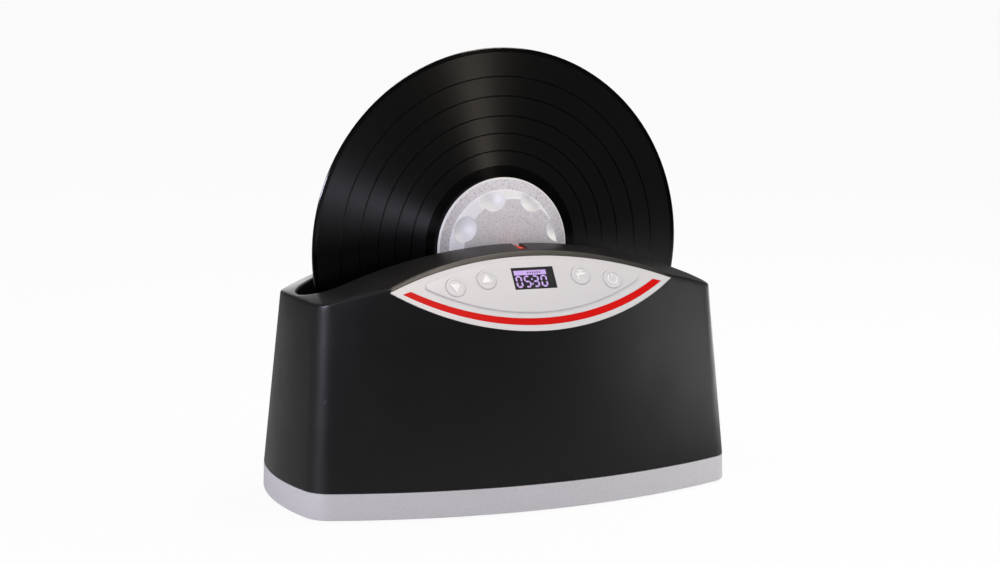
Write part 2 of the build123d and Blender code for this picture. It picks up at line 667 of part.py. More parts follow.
# ---------------------------------------------------------------- drain and power inlet
def tank_outlet():
    """Flanged outlet bonded over the hole in the tank's rear wall."""
    y = RECORD_Y + TANK_FACE
    body = level_rod(DRAIN_X, DRAIN_Z, OUTLET_FLANGE, y, y + SPIGOT_FLANGE_THICKNESS)
    body += level_rod(DRAIN_X, DRAIN_Z, SPIGOT_RADIUS, y, y + OUTLET_LENGTH)
    return body - level_rod(DRAIN_X, DRAIN_Z, DRAIN_BORE, y, y + OUTLET_LENGTH)


def drain_valve():
    y = RECORD_Y + TANK_FACE + OUTLET_LENGTH
    body = block((DRAIN_X - VALVE_HALF, DRAIN_X + VALVE_HALF), (y, y + VALVE_LENGTH),
                 (DRAIN_Z - VALVE_HALF, DRAIN_Z + VALVE_HALF))
    return body - level_rod(DRAIN_X, DRAIN_Z, DRAIN_BORE, y, y + VALVE_LENGTH)


def valve_coil():
    y = RECORD_Y + TANK_FACE + OUTLET_LENGTH + VALVE_LENGTH / 2
    low = DRAIN_Z + VALVE_HALF
    return upright(DRAIN_X, y, COIL_RADIUS, low, low + COIL_HEIGHT)


def drain_spigot():
    """Outlet tube through the bay's wall, with a flange against the wall's outside."""
    start = RECORD_Y + TANK_FACE + OUTLET_LENGTH + VALVE_LENGTH
    flange_end = BAY_FLOOR_Y + SPIGOT_FLANGE_THICKNESS
    body = level_rod(DRAIN_X, DRAIN_Z, SPIGOT_RADIUS, start, flange_end + SPIGOT_LENGTH)
    body += level_rod(DRAIN_X, DRAIN_Z, SPIGOT_FLANGE, BAY_FLOOR_Y, flange_end)
    return body - level_rod(DRAIN_X, DRAIN_Z, DRAIN_BORE, start, flange_end + SPIGOT_LENGTH)


def power_socket():
    """Round low-voltage socket with its centre pin, flanged against the bay's wall."""
    front = BAY_FLOOR_Y + SOCKET_FLANGE_THICKNESS
    back = BAY_FLOOR_Y - SOCKET_DEPTH
    body = level_rod(SOCKET_X, SOCKET_Z, SOCKET_BODY, back, BAY_FLOOR_Y)
    body += level_rod(SOCKET_X, SOCKET_Z, SOCKET_FLANGE, BAY_FLOOR_Y, front)
    body -= level_rod(SOCKET_X, SOCKET_Z, SOCKET_BORE, back + SOCKET_FLANGE_THICKNESS, front)
    return body + level_rod(SOCKET_X, SOCKET_Z, SOCKET_PIN, back, BAY_FLOOR_Y)


def socket_nut():
    inner = BAY_FLOOR_Y - BAY_WALL
    hexagon = RegularPolygon(NUT_ACROSS / 2, 6, major_radius=False)
    nut = extrude(hexagon, NUT_THICKNESS) - Cylinder(SOCKET_BODY + SCREW_CLEARANCE, 4 * NUT_THICKNESS)
    return Pos(SOCKET_X, inner, SOCKET_Z) * Rot(90, 0, 0) * nut


# ---------------------------------------------------------------- electronics
def circuit_board(rect):
    """Board on its standoffs, with a hole at each screw."""
    body = block(rect[:2], rect[2:], (BOARD_Z, BOARD_Z + BOARD_THICKNESS))
    for x, y in board_corners(rect):
        body -= upright(x, y, M25_RADIUS + SCREW_CLEARANCE, 0, 2 * BASE_LEVEL)
    return body


def board_screws():
    top = BOARD_Z + BOARD_THICKNESS
    screws = []
    for x, y in board_corners(MAIN_BOARD) + board_corners(DRIVER_BOARD):
        head = upright(x, y, M25_HEAD, top, top + M25_HEAD_HEIGHT)
        screws.append(head + upright(x, y, M25_RADIUS, BASE_FLOOR_TOP, top))
    return screws


def on_board(x, y, size):
    """Square-cornered component standing on a floor board."""
    top = BOARD_Z + BOARD_THICKNESS
    half_x, half_y = size[0] / 2, size[1] / 2
    return block((x - half_x, x + half_x), (y - half_y, y + half_y), (top, top + size[2]))


def can(x, y, size):
    """Electrolytic capacitor of a radius and height standing on a floor board."""
    top = BOARD_Z + BOARD_THICKNESS
    return upright(x, y, size[0], top, top + size[1])


def main_board_parts():
    """Processor, driver chip, capacitors and a row of plugs on the control board."""
    middle = (MAIN_BOARD[2] + MAIN_BOARD[3]) / 2
    pitch = PLUG[0] + PART_GAP
    can_x = DRIVER_CHIP[0] / 2 + PART_GAP + MAIN_CAN[0]
    can_pitch = 2 * MAIN_CAN[0] + PART_GAP / 2
    plug_y = MAIN_BOARD[3] - BOARD_SCREW_INSET - PLUG[1] / 2
    parts = [on_board(-pitch, middle, PROCESSOR), on_board(0, middle, DRIVER_CHIP)]
    parts += [can(can_x + can_pitch * i, middle, MAIN_CAN) for i in range(MAIN_CANS)]
    parts += [on_board(pitch * (i - (PLUGS - 1) / 2), plug_y, PLUG) for i in range(PLUGS)]
    return parts


def driver_board_parts():
    """Output transformer, two capacitors and a finned cooler on the sound driver board."""
    low_y, high_y = DRIVER_BOARD[2:]
    middle = (low_y + high_y) / 2
    top = BOARD_Z + BOARD_THICKNESS
    transformer_x = DRIVER_BOARD[0] + PART_GAP + TRANSFORMER[0] / 2
    can_x = transformer_x + TRANSFORMER[0] / 2 + PART_GAP + DRIVER_CAN[0]
    cooler_x = can_x + DRIVER_CAN[0] + PART_GAP + COOLER[0] / 2
    parts = [on_board(transformer_x, middle, TRANSFORMER)]
    parts += [can(can_x, middle + side * PART_GAP, DRIVER_CAN) for side in (-1, 1)]
    cooler = on_board(cooler_x, middle, COOLER)
    half, deep = COOLER[0] / 2 - COOLER_FIN[0] / 2, COOLER[1] / 2
    for i in range(COOLER_FINS):
        x = cooler_x + half * (2 * i / (COOLER_FINS - 1) - 1)
        cooler += block((x - COOLER_FIN[0] / 2, x + COOLER_FIN[0] / 2), (middle - deep, middle + deep),
                        (top, top + COOLER_FIN[1]))
    return parts + [cooler]


# ---------------------------------------------------------------- panel and buttons
def panel_rod(place, radius, low, high):
    """Cylinder square to the panel at a place along X and up the panel."""
    return PANEL * (Pos(place[0], place[1], (low + high) / 2) * Cylinder(radius, high - low))


def panel_block(centre, width, height, low, high):
    body = Box(width, height, high - low)
    return PANEL * (Pos(centre[0], centre[1], (low + high) / 2) * body)


def post_places():
    """Posts behind the panel, between the window and the inner buttons and outside them."""
    between = (INNER_BUTTON[0] + OUTER_BUTTON[0]) / 2
    beside = (DISPLAY_WIDTH / 2 + INNER_BUTTON[0] - BUTTON_RADIUS - BUTTON_FLANGE) / 2
    return [(x, POST_UP) for x in (-between, -beside, beside, between)]


def stripe_face(grow):
    """Arc-shaped band between two arcs, grown all round."""
    outer = ThreePointArc((-STRIPE_OUTER_TIP[0], STRIPE_OUTER_TIP[1]), (0, STRIPE_OUTER_BOTTOM),
                          STRIPE_OUTER_TIP)
    right = Line(STRIPE_OUTER_TIP, STRIPE_INNER_TIP)
    inner = ThreePointArc(STRIPE_INNER_TIP, (0, STRIPE_INNER_BOTTOM),
                          (-STRIPE_INNER_TIP[0], STRIPE_INNER_TIP[1]))
    left = Line((-STRIPE_INNER_TIP[0], STRIPE_INNER_TIP[1]),
                (-STRIPE_OUTER_TIP[0], STRIPE_OUTER_TIP[1]))
    face = make_face([outer, right, inner, left])
    return offset(face, grow, kind=Kind.INTERSECTION) if grow else face


def pad_face():
    face = lens(PAD_TIP, PAD_TOP, PAD_BOTTOM)
    return fillet(face.vertices(), PAD_TIP_ROUND)


def control_panel():
    """Lens-shaped plate with a raised pad, a groove for the stripe, holes and posts."""
    plate = on_panel(panel_lens(), -PANEL_THICKNESS, 0)
    pad = extrude(pad_face(), PAD_HEIGHT)
    pad = fillet(pad.edges().group_by(Axis.Z)[-1], PAD_EDGE_ROUND)
    plate += PANEL * pad
    plate -= on_panel(stripe_face(STRIPE_GAP), -STRIPE_DEPTH, PANEL_THICKNESS)
    for place in BUTTONS.values():
        plate -= panel_rod(place, BUTTON_RADIUS + BUTTON_GAP, -2 * PANEL_THICKNESS, PANEL_THICKNESS)
    window = (0, WINDOW_CENTRE)
    plate -= panel_block(window, WINDOW_WIDTH, WINDOW_HEIGHT, PAD_HEIGHT - WINDOW_THICKNESS,
                         PANEL_THICKNESS)
    plate -= panel_block(window, WINDOW_WIDTH - 2 * WINDOW_LEDGE, WINDOW_HEIGHT - 2 * WINDOW_LEDGE,
                         -2 * PANEL_THICKNESS, PANEL_THICKNESS)
    for place in post_places():
        plate += panel_rod(place, POST_RADIUS, -BUTTON_BOARD_DEPTH, -PANEL_THICKNESS)
        plate -= panel_rod(place, M2_RADIUS + SCREW_CLEARANCE, -BUTTON_BOARD_DEPTH,
                           -PANEL_THICKNESS)
    return plate


def red_stripe():
    return on_panel(stripe_face(0), -STRIPE_DEPTH, 0)


def display_window():
    gap = 2 * STRIPE_GAP
    return panel_block((0, WINDOW_CENTRE), WINDOW_WIDTH - gap, WINDOW_HEIGHT - gap,
                       PAD_HEIGHT - WINDOW_THICKNESS, PAD_HEIGHT)


def display_module():
    return panel_block((0, WINDOW_CENTRE), DISPLAY_WIDTH, DISPLAY_HEIGHT, -BUTTON_BOARD_DEPTH,
                       -PANEL_THICKNESS - FIT)


def button(place):
    """Round dished cap with a flange behind the panel and a stem into its switch."""
    top = PAD_HEIGHT + BUTTON_PROUD
    flange_top = -PANEL_THICKNESS - FIT
    cap = Pos(0, 0, (top + flange_top) / 2) * Cylinder(BUTTON_RADIUS, top - flange_top)
    cap = fillet(cap.edges().group_by(Axis.Z)[-1], BUTTON_EDGE_ROUND)
    dish = Cone(BUTTON_DISH_RADIUS - BUTTON_DISH_DEPTH, BUTTON_DISH_RADIUS, BUTTON_DISH_DEPTH)
    cap -= Pos(0, 0, top - BUTTON_DISH_DEPTH / 2) * dish
    flange_low = flange_top - BUTTON_FLANGE_THICKNESS
    body = PANEL * (Pos(place[0], place[1], 0) * cap)
    body += panel_rod(place, BUTTON_RADIUS + BUTTON_FLANGE, flange_low, flange_top)
    switch_top = SWITCH_HEIGHT - BUTTON_BOARD_DEPTH
    return body + panel_rod(place, BUTTON_STEM_RADIUS, switch_top - FIT, flange_low)


def button_switches():
    """Four square switches with a well for the button's stem."""
    switches = []
    face = -BUTTON_BOARD_DEPTH
    well_floor = face + SWITCH_HEIGHT - BUTTON_TRAVEL - SWITCH_PLAY
    for place in BUTTONS.values():
        body = panel_block(place, SWITCH_WIDTH, SWITCH_WIDTH, face, face + SWITCH_HEIGHT)
        well = panel_rod(place, BUTTON_STEM_RADIUS + FIT, well_floor, 0)
        switches.append(body - well)
    return switches


def button_board():
    """Board behind the panel, wider up the middle behind the display."""
    low, high = -BUTTON_BOARD_DEPTH - BOARD_THICKNESS, -BUTTON_BOARD_DEPTH
    middle = (BUTTON_BOARD_LOW + BUTTON_BOARD_HIGH) / 2
    body = panel_block((0, middle), 2 * BUTTON_BOARD_HALF, BUTTON_BOARD_HIGH - BUTTON_BOARD_LOW,
                       low, high)
    top = WINDOW_CENTRE + DISPLAY_HEIGHT / 2
    body += panel_block((0, (top + middle) / 2), DISPLAY_WIDTH, top - middle, low, high)
    for place in post_places():
        body -= panel_rod(place, M2_RADIUS + SCREW_CLEARANCE, 2 * low, 0)
    return body


def panel_screws():
    seat = -BUTTON_BOARD_DEPTH - BOARD_THICKNESS
    screws = []
    for place in post_places():
        head = panel_rod(place, M2_HEAD, seat - M2_HEAD_HEIGHT, seat)
        screws.append(head + panel_rod(place, M2_RADIUS, seat, seat + M2_LENGTH))
    return screws


# ---------------------------------------------------------------- record and clamp
def record():
    """Disc with a raised label zone, recessed grooves and a raised rim bead."""
    bead = RECORD_RADIUS - RECORD_BEAD_WIDTH
    half = [
        (RECORD_HOLE, RECORD_HALF_LABEL),
        (LABEL_ZONE, RECORD_HALF_LABEL),
        (LABEL_ZONE + RECORD_BEAD_WIDTH, RECORD_HALF_GROOVES),
        (bead, RECORD_HALF_GROOVES),
        (bead + RECORD_HALF_LABEL, RECORD_HALF_BEAD),
        (RECORD_RADIUS - RECORD_HALF_BEAD / 2, RECORD_HALF_BEAD),
        (RECORD_RADIUS, RECORD_HALF_BEAD / 2),
    ]
    return turned(1, half + [(r, -d) for r, d in reversed(half)])


def seal(side):
    return turned(side, [(SEAL_INNER, RECORD_HALF_LABEL), (SEAL_OUTER, RECORD_HALF_LABEL),
                         (SEAL_OUTER, FLANGE_START), (SEAL_INNER, FLANGE_START)])


def clamp_half(side):
    """Flange and tapered knob with finger scoops, hollow behind, round a bored hub."""
    bore = SPINDLE_RADIUS + SPINDLE_CLEARANCE
    edge = FLANGE_RADIUS - FLANGE_BEVEL / 2
    outside = [
        (bore, FLANGE_START),
        (edge, FLANGE_START),
        (FLANGE_RADIUS, FLANGE_START + FLANGE_BEVEL / 2),
        (FLANGE_RADIUS, KNOB_START - FLANGE_BEVEL),
        (FLANGE_RADIUS - FLANGE_BEVEL, KNOB_START),
        (KNOB_BASE_RADIUS, KNOB_START),
        (KNOB_FACE_RADIUS, KNOB_FACE - KNOB_EDGE),
        (KNOB_FACE_RADIUS - KNOB_EDGE, KNOB_FACE),
        (bore, KNOB_FACE),
    ]
    body = turned(side, outside)
    body -= turned(side, [(HUB_RADIUS, FLANGE_START), (KNOB_HOLLOW_RADIUS, FLANGE_START),
                          (KNOB_HOLLOW_RADIUS, KNOB_FACE - KNOB_SHELL),
                          (HUB_RADIUS, KNOB_FACE - KNOB_SHELL)])
    body -= on_axis(side, CAP_RADIUS, KNOB_FACE - CAP_DEPTH, KNOB_FACE)
    for i in range(SCOOPS):
        angle = radians(SCOOP_FIRST_ANGLE + i * 360 / SCOOPS)
        centre = (SCOOP_AT[0] * cos(angle), RECORD_Y + side * SCOOP_AT[1],
                  AXIS_Z + SCOOP_AT[0] * sin(angle))
        body -= Pos(*centre) * Sphere(SCOOP_RADIUS)
    return body


def clamp_cap(side):
    """Round cap let into the knob's face, with a fine gap round it."""
    cap = on_axis(side, CAP_RADIUS - CAP_GAP, KNOB_FACE - CAP_DEPTH, KNOB_FACE)
    return cap - on_axis(side, SPINDLE_RADIUS + SPINDLE_CLEARANCE, 0, 2 * KNOB_FACE)


def spindle():
    body = level_rod(0, AXIS_Z, SPINDLE_RADIUS, RECORD_Y - SPINDLE_HALF_LENGTH,
                     RECORD_Y + SPINDLE_HALF_LENGTH)
    return body - on_axis(1, AXLE_RADIUS + BORE_EASE, -SPINDLE_HALF_LENGTH, SPINDLE_HALF_LENGTH)


def axle_pin():
    return level_rod(0, AXIS_Z, AXLE_RADIUS, RECORD_Y - FRONT_BUSH_END + NOTCH_END_CLEARANCE,
                     RECORD_Y + GEAR_END + GEAR_SIDE_GAP)


def bush(side, end):
    """Oblong bearing sleeve that can't turn in its notch while the axle turns in it."""
    y = sorted((RECORD_Y + side * BUSH_START, RECORD_Y + side * end))
    body = block((-BUSH_RADIUS, BUSH_RADIUS), y, (AXIS_Z, AXIS_Z + BUSH_RISE))
    for z in (AXIS_Z, AXIS_Z + BUSH_RISE):
        body += level_rod(0, z, BUSH_RADIUS, *y)
    return body - on_axis(side, AXLE_RADIUS + BUSH_BORE_CLEARANCE, BUSH_START, end)


# ---------------------------------------------------------------- drive
def involute(angle):
    return tan(angle) - angle


def gear(teeth, first_angle, bore, z):
    """Spur gear on the Y direction; each flank follows the involute of its base circle."""
    pitch = GEAR_MODULE * teeth / 2
    base = pitch * cos(radians(PRESSURE_ANGLE))
    root = pitch - 1.25 * GEAR_MODULE
    tip = pitch + GEAR_MODULE
    half_at_pitch = pi / (2 * teeth) - BACKLASH / (2 * pitch)
    flank = []
    for radius in (max(root, base), pitch, (pitch + tip) / 2, tip):
        swing = involute(radians(PRESSURE_ANGLE)) - involute(acos(min(1, base / radius)))
        flank.append((radius, half_at_pitch + swing))
    flank.insert(0, (root, flank[0][1] + ROOT_FLARE * GEAR_MODULE / pitch))
    points = []
    for i in range(teeth):
        middle = radians(first_angle + i * 360 / teeth)
        for radius, half in flank:
            points.append((radius * cos(middle - half), radius * sin(middle - half)))
        for radius, half in reversed(flank):
            points.append((radius * cos(middle + half), radius * sin(middle + half)))
    body = extrude(make_face(Polyline(*points, close=True)), GEAR_WIDTH)
    body -= Cylinder(bore, 4 * GEAR_WIDTH)
    return Pos(0, RECORD_Y + GEAR_END, z) * Rot(90, 0, 0) * body


def spindle_gear():
    return gear(SPINDLE_TEETH, 90 + 180 / SPINDLE_TEETH, AXLE_RADIUS + BORE_EASE, AXIS_Z)


def drive_pinion():
    return gear(PINION_TEETH, 90, SHAFT_RADIUS + BORE_EASE, PINION_Z)


def output_shaft():
    return level_rod(0, PINION_Z, SHAFT_RADIUS, RECORD_Y + POCKET_START + FIT,
                     RECORD_Y + MOTOR_FACE + BRACKET_PLATE + SHAFT_IN_GEARBOX)


def motor_bracket():
    """Plate against the lip's boss with a strap round the gearbox."""
    y = RECORD_Y + MOTOR_FACE
    plate_high = GEARBOX[2] / 2 + BRACKET_WALL
    body = block((-BRACKET_HALF_WIDTH, BRACKET_HALF_WIDTH), (y, y + BRACKET_PLATE),
                 (PINION_Z - plate_high, PINION_Z + plate_high))
    body -= level_rod(0, PINION_Z, SHAFT_RADIUS + 2 * FIT, y, y + BRACKET_PLATE)
    for x in (-MOTOR_SCREW_X, MOTOR_SCREW_X):
        body -= level_rod(x, PINION_Z, M2_RADIUS + SCREW_CLEARANCE, y, y + BRACKET_PLATE)
    strap = GEARBOX[0] / 2 + BRACKET_WALL
    back = y + BRACKET_PLATE + GEARBOX[1]
    body += block((-strap, strap), (y + BRACKET_PLATE, back - BRACKET_WALL),
                  (PINION_Z - plate_high, PINION_Z + plate_high))
    return body - block((-GEARBOX[0] / 2, GEARBOX[0] / 2), (y + BRACKET_PLATE, back),
                        (PINION_Z - GEARBOX[2] / 2, PINION_Z + GEARBOX[2] / 2))


def motor_gearbox():
    y = RECORD_Y + MOTOR_FACE + BRACKET_PLATE
    body = block((-GEARBOX[0] / 2, GEARBOX[0] / 2), (y, y + GEARBOX[1]),
                 (PINION_Z - GEARBOX[2] / 2, PINION_Z + GEARBOX[2] / 2))
    return body - level_rod(0, PINION_Z, SHAFT_RADIUS + SHAFT_RUNNING, y, y + SHAFT_IN_GEARBOX)


def drive_motor():
    """Small motor can with two flats and a pair of terminals at its back."""
    start = RECORD_Y + MOTOR_FACE + BRACKET_PLATE + GEARBOX[1]
    end = start + MOTOR_LENGTH
    body = level_rod(0, PINION_Z, MOTOR_RADIUS, start, end)
    body &= block((-MOTOR_RADIUS, MOTOR_RADIUS), (start, end),
                  (PINION_Z - MOTOR_FLAT, PINION_Z + MOTOR_FLAT))
    for x in (-MOTOR_FLAT / 2, MOTOR_FLAT / 2):
        body += level_rod(x, PINION_Z, MOTOR_TERMINAL / 4, end, end + MOTOR_TERMINAL)
    return body


def motor_screws():
    face = RECORD_Y + MOTOR_FACE + BRACKET_PLATE
    screws = []
    for x in (-MOTOR_SCREW_X, MOTOR_SCREW_X):
        head = level_rod(x, PINION_Z, M2_HEAD, face, face + M2_HEAD_HEIGHT)
        screws.append(head + level_rod(x, PINION_Z, M2_RADIUS, face - M2_LENGTH, face))
    return screws


# ---------------------------------------------------------------- all pieces
def pieces():
    """Every named piece; a list is a group of like separate solids."""
    parts = {
        "housing_shell": housing_shell(),
        "base_tray": base_tray(),
        "rubber_feet": rubber_feet(),
        "base_screws": base_screws(),
        "tank": tank(),
        "tank_gasket": tank_gasket(),
        "transducer_horns": transducer_horns(),
        "piezo_stacks": piezo_stacks(),
        "transducer_weights": transducer_weights(),
        "tank_outlet": tank_outlet(),
        "drain_valve": drain_valve(),
        "valve_coil": valve_coil(),
        "drain_spigot": drain_spigot(),
        "power_socket": power_socket(),
        "socket_nut": socket_nut(),
        "main_board": circuit_board(MAIN_BOARD),
        "main_board_parts": main_board_parts(),
        "driver_board": circuit_board(DRIVER_BOARD),
        "driver_board_parts": driver_board_parts(),
        "board_screws": board_screws(),
        "control_panel": control_panel(),
        "red_stripe": red_stripe(),
        "display_window": display_window(),
        "display_module": display_module(),
        "button_board": button_board(),
        "button_switches": button_switches(),
        "panel_screws": panel_screws(),
        "record": record(),
        "front_seal": seal(-1),
        "rear_seal": seal(1),
        "front_clamp": clamp_half(-1),
        "rear_clamp": clamp_half(1),
        "front_clamp_cap": clamp_cap(-1),
        "rear_clamp_cap": clamp_cap(1),
        "spindle": spindle(),
        "axle_pin": axle_pin(),
        "front_bush": bush(-1, FRONT_BUSH_END),
        "rear_bush": bush(1, REAR_BUSH_END),
        "spindle_gear": spindle_gear(),
        "drive_pinion": drive_pinion(),
        "output_shaft": output_shaft(),
        "motor_bracket": motor_bracket(),
        "motor_gearbox": motor_gearbox(),
        "drive_motor": drive_motor(),
        "motor_screws": motor_screws(),
    }
    for name, place in BUTTONS.items():
        parts[name] = button(place)
    return parts


os.makedirs("parts", exist_ok=True)
for name, shape in pieces().items():
    whole = Compound(children=shape) if isinstance(shape, list) else shape
    export_step(whole, "parts/" + name + ".step")
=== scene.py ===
"""The finish of an ultrasonic record cleaning machine: mouldings, marks, record, floor and light.

Laid out as an add-on and run as a script. Lengths are metres, and names that end in _mm
or _MM hold millimetres. The front faces -Y, and the record turns about a line along Y.
"""

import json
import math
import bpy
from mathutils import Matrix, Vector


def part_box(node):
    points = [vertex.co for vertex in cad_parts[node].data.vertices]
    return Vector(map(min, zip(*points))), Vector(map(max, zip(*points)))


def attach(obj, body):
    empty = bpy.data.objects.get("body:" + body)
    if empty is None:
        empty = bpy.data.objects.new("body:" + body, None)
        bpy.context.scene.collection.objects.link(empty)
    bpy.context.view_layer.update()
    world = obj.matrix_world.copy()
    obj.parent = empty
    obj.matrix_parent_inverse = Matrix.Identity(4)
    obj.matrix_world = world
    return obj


bl_info = {
    "name": "Record Cleaner Finish",
    "version": (1, 0, 0),
    "blender": (4, 5, 0),
    "location": "3D View > Sidebar > Record Cleaner",
    "description": "Finishes the mouldings, marks, record and metal of a record cleaning machine",
    "category": "Object",
}

import bpy
import numpy as np
from bpy.props import FloatProperty, FloatVectorProperty, PointerProperty, StringProperty
from mathutils import Matrix, Vector

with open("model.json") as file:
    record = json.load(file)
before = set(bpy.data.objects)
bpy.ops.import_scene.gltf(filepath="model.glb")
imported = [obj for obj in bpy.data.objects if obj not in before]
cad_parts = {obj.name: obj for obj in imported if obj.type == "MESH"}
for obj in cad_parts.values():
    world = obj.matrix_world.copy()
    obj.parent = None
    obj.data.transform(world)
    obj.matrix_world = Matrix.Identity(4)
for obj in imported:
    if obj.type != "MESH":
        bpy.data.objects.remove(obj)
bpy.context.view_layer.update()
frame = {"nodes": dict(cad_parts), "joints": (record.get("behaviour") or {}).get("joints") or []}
MM = 0.001
NODES = frame["nodes"]
JOINTS = {joint["name"]: joint for joint in frame["joints"]}

# ---------------------------------------------------------------- places read from the frame
# The panel faces the way its buttons come out.
PANEL_NORMAL = -Vector(JOINTS["down_press"]["axis"]).normalized()
PANEL_RIGHT = Vector((1, 0, 0))
PANEL_UP = PANEL_NORMAL.cross(PANEL_RIGHT)
RECORD_CENTRE = Vector(JOINTS["record_spin"]["pos_m"])
RECORD_RADIUS = (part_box("record")[1].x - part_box("record")[0].x) / 2
CLAMP_RADIUS = (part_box("front_clamp")[1].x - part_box("front_clamp")[0].x) / 2
# From the record's middle plane to the clamp's outermost face.
CLAMP_REACH = RECORD_CENTRE.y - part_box("front_clamp")[0].y

# Depths in which a point counts as lying on a face: of a piece of the panel, of the clamp.
PANEL_FACE_DEPTH_MM = 0.02
CLAMP_FACE_DEPTH_MM = 0.05


def node_points(name):
    """Every vertex of a node as an array of rows."""
    mesh = NODES[name].data
    points = np.zeros(len(mesh.vertices) * 3)
    mesh.vertices.foreach_get("co", points)
    return points.reshape(-1, 3)


def panel_place(name, lift_mm=0.0):
    """Matrix whose Z is the panel's normal, at the middle of a node's outermost face."""
    points = node_points(name)
    heights = points @ np.array(PANEL_NORMAL)
    face = points[heights > heights.max() - PANEL_FACE_DEPTH_MM * MM]
    middle = Vector((face.min(0) + face.max(0)) / 2)
    place = Matrix((PANEL_RIGHT, PANEL_UP, PANEL_NORMAL)).transposed().to_4x4()
    place.translation = middle + PANEL_NORMAL * (lift_mm * MM)
    return place


# ---------------------------------------------------------------- colours and node trees
# Most of a noise texture's values lie between these.
NOISE_RANGE = (0.3, 0.7)
# A fleck's edge lies between these values of the noise, less the flecks' share.
FLECK_EDGE = (0.78, 0.92)


def linear(hex_colour):
    """Linear RGBA of an sRGB colour written as six hexadecimal digits."""
    shares = [int(hex_colour[i:i + 2], 16) / 255 for i in (0, 2, 4)]
    return [s / 12.92 if s <= 0.04045 else ((s + 0.055) / 1.055) ** 2.4 for s in shares] + [1.0]


def join(tree, output, node, socket):
    """Links a (node, output) pair to a socket of another node."""
    tree.links.new(output[0].outputs[output[1]], node.inputs[socket])


def add_node(tree, kind, inputs=None, **settings):
    """Adds a node with its settings. An input is a value, or a (node, output) pair to link."""
    made = tree.nodes.new(kind)
    for name, value in settings.items():
        setattr(made, name, value)
    for socket, value in (inputs or {}).items():
        if isinstance(value, tuple) and isinstance(value[0], bpy.types.Node):
            join(tree, value, made, socket)
        else:
            made.inputs[socket].default_value = value
    return made


def maths(tree, operation, first, second, **settings):
    """Output of one operation on two values."""
    inputs = {0: first, 1: second}
    return add_node(tree, "ShaderNodeMath", inputs, operation=operation, **settings), 0


def mixed_value(tree, share, first, second):
    """Output that goes from a first value to a second as the share goes from zero to one."""
    inputs = {0: share, 2: first, 3: second}
    return add_node(tree, "ShaderNodeMix", inputs, data_type="FLOAT"), 0


def mixed_colour(tree, share, first, second):
    """Output that goes from a first colour to a second as the share goes from zero to one."""
    inputs = {0: share, 6: first, 7: second}
    return add_node(tree, "ShaderNodeMix", inputs, data_type="RGBA"), 2


def mapped(tree, value, limits, ends, **settings):
    """Output that goes from one end to the other while a value goes between its limits."""
    inputs = {
        "Value": value,
        "From Min": limits[0], "From Max": limits[1],
        "To Min": ends[0], "To Max": ends[1],
    }
    return add_node(tree, "ShaderNodeMapRange", inputs, **settings), 0


def span(tree, value, limits, ends):
    """As mapped, but with a smooth start and stop."""
    return mapped(tree, value, limits, ends, interpolation_type="SMOOTHSTEP")


def between(tree, value, low, high):
    """One where a value lies between two limits, zero elsewhere."""
    above = maths(tree, "GREATER_THAN", value, low)
    below = maths(tree, "LESS_THAN", value, high)
    return maths(tree, "MULTIPLY", above, below)


def noise(tree, where, size_mm, detail, roughness=0.5):
    """Output of a noise whose features have a size in millimetres."""
    inputs = {
        "Vector": where, "Scale": 1 / (size_mm * MM), "Detail": detail, "Roughness": roughness,
    }
    return add_node(tree, "ShaderNodeTexNoise", inputs), 0


def bump(tree, shader, height, depth_mm):
    """Relief on a shader, from a height between zero and one."""
    inputs = {"Height": height, "Strength": 1.0, "Distance": depth_mm * MM}
    join(tree, (add_node(tree, "ShaderNodeBump", inputs), 0), shader, "Normal")


def grain(tree, shader, where, size_mm, depth_mm):
    """Bump of a moulded or blasted grain, with the grain's size and depth in millimetres."""
    bump(tree, shader, noise(tree, where, size_mm, detail=2.0), depth_mm)


def vary_roughness(tree, shader, where, size_mm, roughness, swing):
    """Roughness that drifts by a swing either way over patches of a size in millimetres."""
    patches = noise(tree, where, size_mm, detail=3.0, roughness=0.6)
    drift = mapped(tree, patches, NOISE_RANGE, (roughness - swing, roughness + swing))
    join(tree, drift, shader, "Roughness")


def speckle(tree, where, look):
    """Output of a colour with fine flecks of a second colour over a share of the surface."""
    pattern = noise(tree, where, look.fleck_mm, detail=1.0, roughness=0.4)
    edge = mapped(tree, pattern, [level - look.fleck_share for level in FLECK_EDGE], (0.0, 1.0))
    return mixed_colour(tree, edge, linear(look.colour), linear(look.fleck_colour))


# ---------------------------------------------------------------- materials
def new_material(name, sockets):
    """A material with one shader whose sockets are set, and the object's coordinates."""
    material = bpy.data.materials.new(name)
    material.use_nodes = True
    tree = material.node_tree
    tree.nodes.clear()
    shader = add_node(tree, "ShaderNodeBsdfPrincipled", sockets)
    add_node(tree, "ShaderNodeOutputMaterial", {"Surface": (shader, 0)})
    place = add_node(tree, "ShaderNodeTexCoord")
    return material, tree, shader, (place, "Object")


def even_finish(name, sockets, patch_mm, roughness, swing, grain_mm=None, depth_mm=None):
    """Material of one colour: its roughness drifts over patches, and it may have a grain."""
    material, tree, shader, where = new_material(name, sockets)
    vary_roughness(tree, shader, where, patch_mm, roughness, swing)
    if grain_mm:
        grain(tree, shader, where, grain_mm, depth_mm)
    return material


def moulded_black_abs(look):
    """ABS, injection moulded in a spark-eroded tool: a satin black that lifts at grazing angles."""
    return even_finish(
        "moulded_black_abs",
        {"Base Color": linear(look.colour), "IOR": 1.54, "Specular IOR Level": look.specular},
        patch_mm=look.patch_mm, roughness=look.roughness, swing=0.03,
        grain_mm=look.grain_mm, depth_mm=look.grain_depth_mm,
    )


